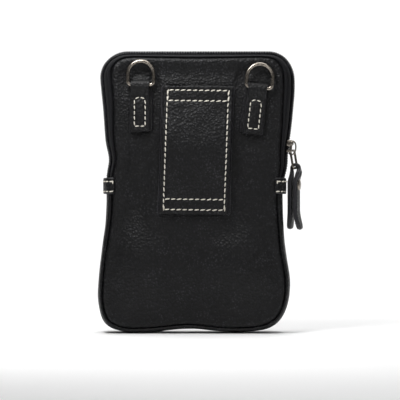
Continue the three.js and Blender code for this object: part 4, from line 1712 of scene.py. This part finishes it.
@dataclass
class BeltLoop:
    """The belt loop: a long leather patch on a thinner backing, sewn together all round and held to
    the pouch by a stitched box at each end, so a belt passes behind its middle."""

    finishes: Finishes
    centre: tuple[float, float] = (0.0, 116.25)
    width: float = 44.5
    height: float = 81.5
    lean: float = 2.1
    dropped: float = 0.8
    face: float = 13.8
    backing: float = 0.9
    leather: float = 1.5
    land: float = 4.0
    ramp: float = 36.7
    bow: float = 3.7
    from_edge: float = 3.0
    box: float = 6.6
    stitch_pitch: float = 3.6
    thread: float = 0.78
    between: float = 0.3
    backing_wider: float = 1.9
    backing_taller: float = 0.6
    seam_dip: float = 0.35
    sides: int = 110

    def out_at(self, down: Array) -> Array:
        """How far the loop stands off: a long soft bow from one stitched end to the other.

        Args:
            down: Distance from the top edge.
        Returns:
            Distance further out than the stitched ends.
        """
        near = np.minimum(down, self.height - down)
        return self.bow * smooth((near - self.land) / self.ramp)

    def turned(self, points: Array) -> Array:
        """Leans points in the loop's own plane: its sides lean more than its ends drop.

        Args:
            points: Points (x, y, z) with x across the loop and z up from its centre.
        Returns:
            Points in the pouch's frame.
        """
        x = points[..., 0] + points[..., 2] * math.tan(math.radians(self.lean))
        z = points[..., 2] - points[..., 0] * math.tan(math.radians(self.dropped))
        return np.stack([self.centre[0] + x, points[..., 1], self.centre[1] + z], axis=-1)

    def layer(
        self, width: float, height: float, near: float, thick: float, seam_dip: float, rows: int,
    ) -> Array:
        """One layer as a strap down the loop's middle line.

        Args:
            width: Its width.
            height: Its height.
            near: Distance from its pouch side to the middle plane.
            thick: Its thickness.
            seam_dip: How far the seams draw its face in.
            rows: Cuts along it.
        Returns:
            Grid of rows by columns by 3.
        """
        z = np.linspace(height / 2.0, -height / 2.0, rows)
        y = -(near + thick / 2.0 + self.out_at(self.height / 2.0 - z))
        path = np.stack([np.zeros(rows), y, z], axis=1)
        # It is a little narrower half way down, where nothing holds its sides out.
        ease = 1.0 - 0.018 * smooth(np.cos(z / self.height * math.pi))
        grid = strip(
            path, ACROSS, width * ease, thick,
            corner=1.3, edge=0.42, crown=0.0, sides=self.sides, soft=0.55,
        )
        x, zz = grid[..., 0], grid[..., 2]
        half_x, half_z = self.width / 2.0 - self.from_edge, self.height / 2.0 - self.from_edge
        outer = grid[..., 1] < path[:, 1][:, None]
        inside = (np.abs(x) < half_x + 1.5) & (np.abs(zz) < half_z + 1.5)
        dip = bell(np.abs(x) - half_x, 0.9) * (np.abs(zz) < half_z + 1.0)
        for level in (half_z, half_z - self.box):
            dip = np.maximum(dip, bell(np.abs(zz) - level, 0.9) * inside)
        puff = 0.22 * ripple(x, zz, 7, 30.0, 9.0, SEED + 5)
        grid[..., 1] += np.where(outer, seam_dip * dip - puff * smooth((half_x - np.abs(x)) / 5.0), 0.0)
        return self.turned(grid)

    def face_y(self, z: Array) -> Array:
        """Depth of the loop's outer face at a height above its centre."""
        near = self.face + self.backing + self.between
        return -(near + self.leather + self.out_at(self.height / 2.0 - z))

    def seams(self) -> Array:
        """The stitches: two columns the whole way down, and two rows in each end box.

        Returns:
            Capsules, as from capsules().
        """
        half_x, half_z = self.width / 2.0 - self.from_edge, self.height / 2.0 - self.from_edge
        found = []
        for sign in (-1, 1):
            z = np.linspace(half_z, -half_z, 90)
            column = np.stack([np.full(90, sign * half_x), self.face_y(z) - 0.02, z], axis=1)
            slope = np.gradient(column[:, 1], z)
            out = unit(np.stack([np.zeros(90), -np.ones(90), slope], axis=1))
            found.append(seam(self.turned(column), out, self.stitch_pitch, self.thread, slant=-6.0 * sign))
        for level in (half_z, half_z - self.box, -half_z, -half_z + self.box):
            x = np.linspace(-half_x + 0.4, half_x - 0.4, 40)
            z = np.full(40, level)
            row = np.stack([x, self.face_y(z) - 0.04, z], axis=1)
            found.append(seam(self.turned(row), TO_BACK, self.stitch_pitch, self.thread, slant=9.0))
        # Back-stitches: a second thread over the first at each corner, and another further down.
        corners = np.array([[sx * half_x, sz * half_z] for sx in (-1, 1) for sz in (-1, 1)])
        spots = np.concatenate([corners + [0.0, -1.2], corners - [0.0, 5.0]])
        spots[:, 1] = np.clip(spots[:, 1], -half_z + 0.6, half_z - 0.6)
        centre = np.stack([spots[:, 0] + 0.35, self.face_y(spots[:, 1]) - 0.25, spots[:, 1]], axis=1)
        lean = np.array([0.12, 0.0, 1.0])
        found.append(capsules(self.turned(centre), lean, TO_BACK, 3.0, self.thread, self.thread * 0.8))
        return np.concatenate(found)

    def build(self) -> None:
        """Makes the backing, the loop and its stitches."""
        tints = edge_tints(self.sides)
        back = MeshParts()
        size = (self.width + self.backing_wider, self.height + self.backing_taller)
        back.grid(
            self.layer(*size, self.face, self.backing, 0.0, 60), wrap_v=True, capped=True, tint=tints,
        )
        piece = back.build("belt_loop_backing_leather", self.finishes.leathers, 1)
        dress(piece, Body.POUCH, ["belt_loop_backing"])
        front = MeshParts()
        near = self.face + self.backing + self.between
        front.grid(
            self.layer(self.width, self.height, near, self.leather, self.seam_dip, 130),
            wrap_v=True, capped=True, tint=tints,
        )
        piece = front.build("belt_loop_leather", self.finishes.leathers, 1)
        dress(piece, Body.POUCH, ["belt_loop"])
        thread = MeshParts()
        thread.copies(self.seams())
        piece = thread.build("belt_loop_stitches", [self.finishes.thread])
        dress(piece, Body.POUCH, ["belt_loop_thread"])


# ------------------------------------------------------------------ D-rings


@dataclass
class RingStrap:
    """A D-ring on a strap that is folded round the ring's bar and sewn down through both leaves."""

    finishes: Finishes
    name: str
    body: Body
    bar: Point
    lean: float
    shift: float
    width: float = 12.8
    below: float = 29.1
    leather: float = 1.4
    wire_thick: float = 2.3
    ring_half: float = 8.15
    ring_height: float = 14.9
    ring_slid: float = 0.6
    ring_corner: float = 2.4
    box_half: float = 3.4
    box_top: float = 8.2
    box_low: float = 26.1
    box_corner: float = 2.4
    stitch_pitch: float = 3.3
    thread: float = 0.72
    running: float = 0.35
    sides: int = 44

    @property
    def wrap(self) -> float:
        """Radius of the leather's middle line round the ring's bar."""
        return self.wire_thick / 2.0 + self.running + self.leather / 2.0

    def turned(self, points: Array) -> Array:
        """Leans points about the bar's middle, in the plane of the panel.

        Args:
            points: Points (x, y, z) from the bar's middle.
        Returns:
            Points in the pouch's frame.
        """
        t = math.radians(self.lean)
        x = points[..., 0] * math.cos(t) - points[..., 2] * math.sin(t)
        z = points[..., 0] * math.sin(t) + points[..., 2] * math.cos(t)
        return np.stack([self.bar[0] + x, self.bar[1] + points[..., 1], self.bar[2] + z], axis=-1)

    def outer_y(self, z: Array) -> Array:
        """Middle line of the outer leaf: off the ring, then down on to the inner leaf.

        Args:
            z: Height from the bar's middle, 0 or less.
        Returns:
            Depth from the bar's middle.
        """
        wrap = self.wrap
        closed = wrap - self.leather - 0.15
        return -wrap - 0.2 * bell(z + 2.4, 2.2) + (wrap + closed) * smooth((-z - 0.8) / 6.4)

    def strap(self) -> None:
        """Makes the strap as one folded band."""
        wrap = self.wrap
        up = np.linspace(-self.below, -0.3, 36)
        inner = np.stack([np.full(len(up), self.shift), np.full(len(up), wrap), up], axis=1)
        # The leaf under the ring lies a little to one side, and the fold brings it back.
        a = np.radians(np.linspace(0, 180, 21))
        aside = self.shift * (1 - smooth(np.linspace(0, 1, len(a))))
        over = np.stack([aside, wrap * np.cos(a), wrap * np.sin(a)], axis=1)
        down = np.linspace(-0.3, -self.below - 0.6, 60)
        outer = np.stack([np.zeros(len(down)), self.outer_y(down), down], axis=1)
        path = np.concatenate([inner, over, outer])
        width = self.width * (1.0 - 0.1 * bell(path[:, 2] + 3.0, 5.0))
        grid = strip(
            path, ACROSS, width, self.leather,
            corner=1.4, edge=0.45, crown=0.12, sides=self.sides, soft=0.6,
        )
        x, y, z = grid[..., 0], grid[..., 1], grid[..., 2]
        row_outer = np.arange(len(path))[:, None] >= len(inner) + len(over)
        on_face = row_outer & (y < path[:, 1][:, None])
        # How far out a point is in the box of stitches, 1 on the stitches themselves.
        middle_z = -(self.box_top + self.box_low) / 2.0
        half_z = (self.box_low - self.box_top) / 2.0
        ring = np.maximum(np.abs(x) / self.box_half, np.abs(z - middle_z) / half_z)
        inside = smooth((1.0 - ring) / 0.5)
        dip = bell((ring - 1.0) * self.box_half, 1.1)
        grid[..., 1] += np.where(on_face, 0.28 * dip - 0.25 * inside, 0.0)
        parts = MeshParts()
        parts.grid(self.turned(grid), wrap_v=True, capped=True, tint=edge_tints(self.sides))
        piece = parts.build(f"ring_strap_{self.name}_leather", self.finishes.leathers, 1)
        dress(piece, Body.POUCH, [f"ring_strap_{self.name}"])

    def stitches(self) -> None:
        """Makes the box of stitches, round at the top and square below."""
        w, low, top = self.box_half, -self.box_low, -self.box_top
        corner = self.box_corner
        loop = np.concatenate([
            [[-w, low]], [[w, low]], arc(w - corner, top - corner, corner, corner, 0, 90, 8),
            arc(-w + corner, top - corner, corner, corner, 90, 180, 8), [[-w, low]],
        ])
        loop = evenly(loop, 120)
        y = self.outer_y(loop[:, 1]) - self.leather / 2.0 + 0.05
        line = self.turned(np.stack([loop[:, 0], y, loop[:, 1]], axis=1))
        parts = MeshParts()
        parts.copies(seam(line, TO_BACK, self.stitch_pitch, self.thread, slant=5.0, fill=0.76))
        piece = parts.build(f"ring_strap_thread_{self.name}_stitches", [self.finishes.thread])
        dress(piece, Body.POUCH, [f"ring_strap_thread_{self.name}"])

    def ring(self) -> None:
        """Makes the D-ring: a straight bar, two upright legs and a half-round top, in one wire."""
        w, c = self.ring_half, self.ring_corner
        top = self.ring_height - w
        loop = np.concatenate([
            arc(w - c, c, c, c, -90, 0, 10), arc(0.0, top, w, w, 0, 180, 48),
            arc(-w + c, c, c, c, 180, 270, 10),
        ])
        loop = evenly(np.concatenate([loop, loop[:1]]), 121)[:-1]
        x = loop[:, 0] + self.ring_slid
        path = self.turned(np.stack([x, np.zeros(len(x)), loop[:, 1]], axis=1))
        parts = MeshParts()
        parts.grid(wire(path, self.wire_thick / 2.0, True, 18), wrap_u=True, wrap_v=True)
        piece = parts.build(f"d_ring_{self.name}_wire", [self.finishes.nickel])
        dress(piece, self.body, [f"d_ring_{self.name}"])

    def build(self) -> None:
        """Makes the strap, its stitches and the ring."""
        self.strap()
        self.stitches()
        self.ring()


# ------------------------------------------------------------------ studio


@dataclass(frozen=True)
class SoftBox:
    """A square soft light: where it stands, what it points at and its side in metres, and watts."""

    name: str
    at: Point
    aim: Point
    size: float
    power: float

    def hang(self) -> None:
        """Adds the light to the scene."""
        data = bpy.data.lights.new(self.name, "AREA")
        data.size = self.size
        data.energy = self.power
        lamp = bpy.data.objects.new(self.name, data)
        lamp.location = self.at
        ray = Vector(self.aim) - Vector(self.at)
        lamp.rotation_euler = ray.to_track_quat("-Z", "Y").to_euler()
        bpy.context.scene.collection.objects.link(lamp)


SOFT_BOXES = (
    SoftBox("key_soft_box", (-0.085, -0.16, 0.345), (0.0, 0.0, 0.12), 0.12, 0.82),
    SoftBox("fill_soft_box", (0.3, -0.75, 0.52), (0.0, 0.0, 0.12), 0.3, 1.0),
    SoftBox("sweep_wash", (0.0, 0.35, 1.5), (0.0, 1.3, 0.1), 1.2, 24.0),
)


@dataclass
class Studio:
    """A pale sweep that the pouch stands on, soft lights and the camera, in metres."""

    half_width: float = 7.0
    front: float = -7.0
    back: float = 1.3
    bend: float = 0.7
    rise: float = 2.2
    fibre_mm: float = 250.0
    lens: float = 182.8
    film: float = 36.0
    air_light: float = 0.06
    camera_at: Point = (0.0026, -1.3, 0.0847)

    def sweep(self) -> None:
        """Makes the floor that curves up into a backdrop: a line, a quarter circle and a line."""
        curve = arc(self.back - self.bend, self.bend, self.bend, self.bend, -90, 0, 24)
        line = np.concatenate([[[self.front, 0.0]], curve, [[self.back, self.rise]]])
        x = np.array([-self.half_width, self.half_width])
        grid = np.stack([
            np.broadcast_to(x[None], (len(line), 2)), np.broadcast_to(line[:, :1], (len(line), 2)),
            np.broadcast_to(line[:, 1:], (len(line), 2)),
        ], axis=-1) / MM
        material, tree, shader = start_material("matt_white_paper_sweep")
        place = put(tree, "ShaderNodeTexCoord").outputs["Object"]
        fibre = noise(tree, place, self.fibre_mm, 2.0)
        colour = ramp(tree, fibre, [(0.0, "#f4f4f4"), (1.0, "#fbfbfb")])
        tree.links.new(colour, shader.inputs["Base Color"])
        shader.inputs["Roughness"].default_value = 0.9
        parts = MeshParts()
        parts.grid(grid)
        parts.build("paper_sweep", [material])

    def build(self) -> None:
        """Makes the sweep, the lights, the sky and the camera."""
        self.sweep()
        for box in SOFT_BOXES:
            box.hang()
        world = bpy.data.worlds.new("studio_air")
        world.use_nodes = True
        sky = world.node_tree.nodes["Background"]
        sky.inputs["Color"].default_value = linear("#ffffff")
        sky.inputs["Strength"].default_value = self.air_light
        bpy.context.scene.world = world
        bpy.context.scene.view_settings.view_transform = "Standard"
        data = bpy.data.cameras.new("camera")
        data.lens = self.lens
        data.sensor_width = self.film
        camera = bpy.data.objects.new("camera", data)
        camera.location = self.camera_at
        camera.rotation_euler = (math.pi / 2.0, 0.0, 0.0)
        bpy.context.scene.collection.objects.link(camera)
        bpy.context.scene.camera = camera


def middle_mm(node: str) -> Point:
    """Middle of a CAD node's box, in millimetres."""
    low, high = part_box(node)
    return tuple((low[k] + high[k]) / 2.0 / MM for k in range(3))


def joint_mm(name: str) -> Point:
    """A joint's point, in millimetres."""
    joint = next(j for j in frame["joints"] if j["name"] == name)
    return tuple(v / MM for v in joint["pos_m"])


def main() -> None:
    """Builds the pouch in order, then the studio."""
    logging.basicConfig(level=logging.INFO, format="%(name)s: %(message)s", stream=sys.stdout)
    finishes = Finishes()
    edge = Edge()
    shell = Shell(edge, finishes)
    shell.build()
    Zip(edge, finishes, shell).build()
    Slider(finishes).build()
    Pull(finishes, hang=joint_mm("link_swing"), pivot=joint_mm("pull_swing")).build()
    loop_x, _, loop_z = middle_mm("belt_loop")
    BeltLoop(finishes, centre=(loop_x, loop_z)).build()
    left, right = joint_mm("ring_swing_left"), joint_mm("ring_swing_right")
    RingStrap(finishes, "left", Body.RING_LEFT, left, lean=0.0, shift=1.9).build()
    RingStrap(finishes, "right", Body.RING_RIGHT, right, lean=-6.5, shift=-1.9).build()
    Studio().build()


if __name__ == "__main__":
    main()
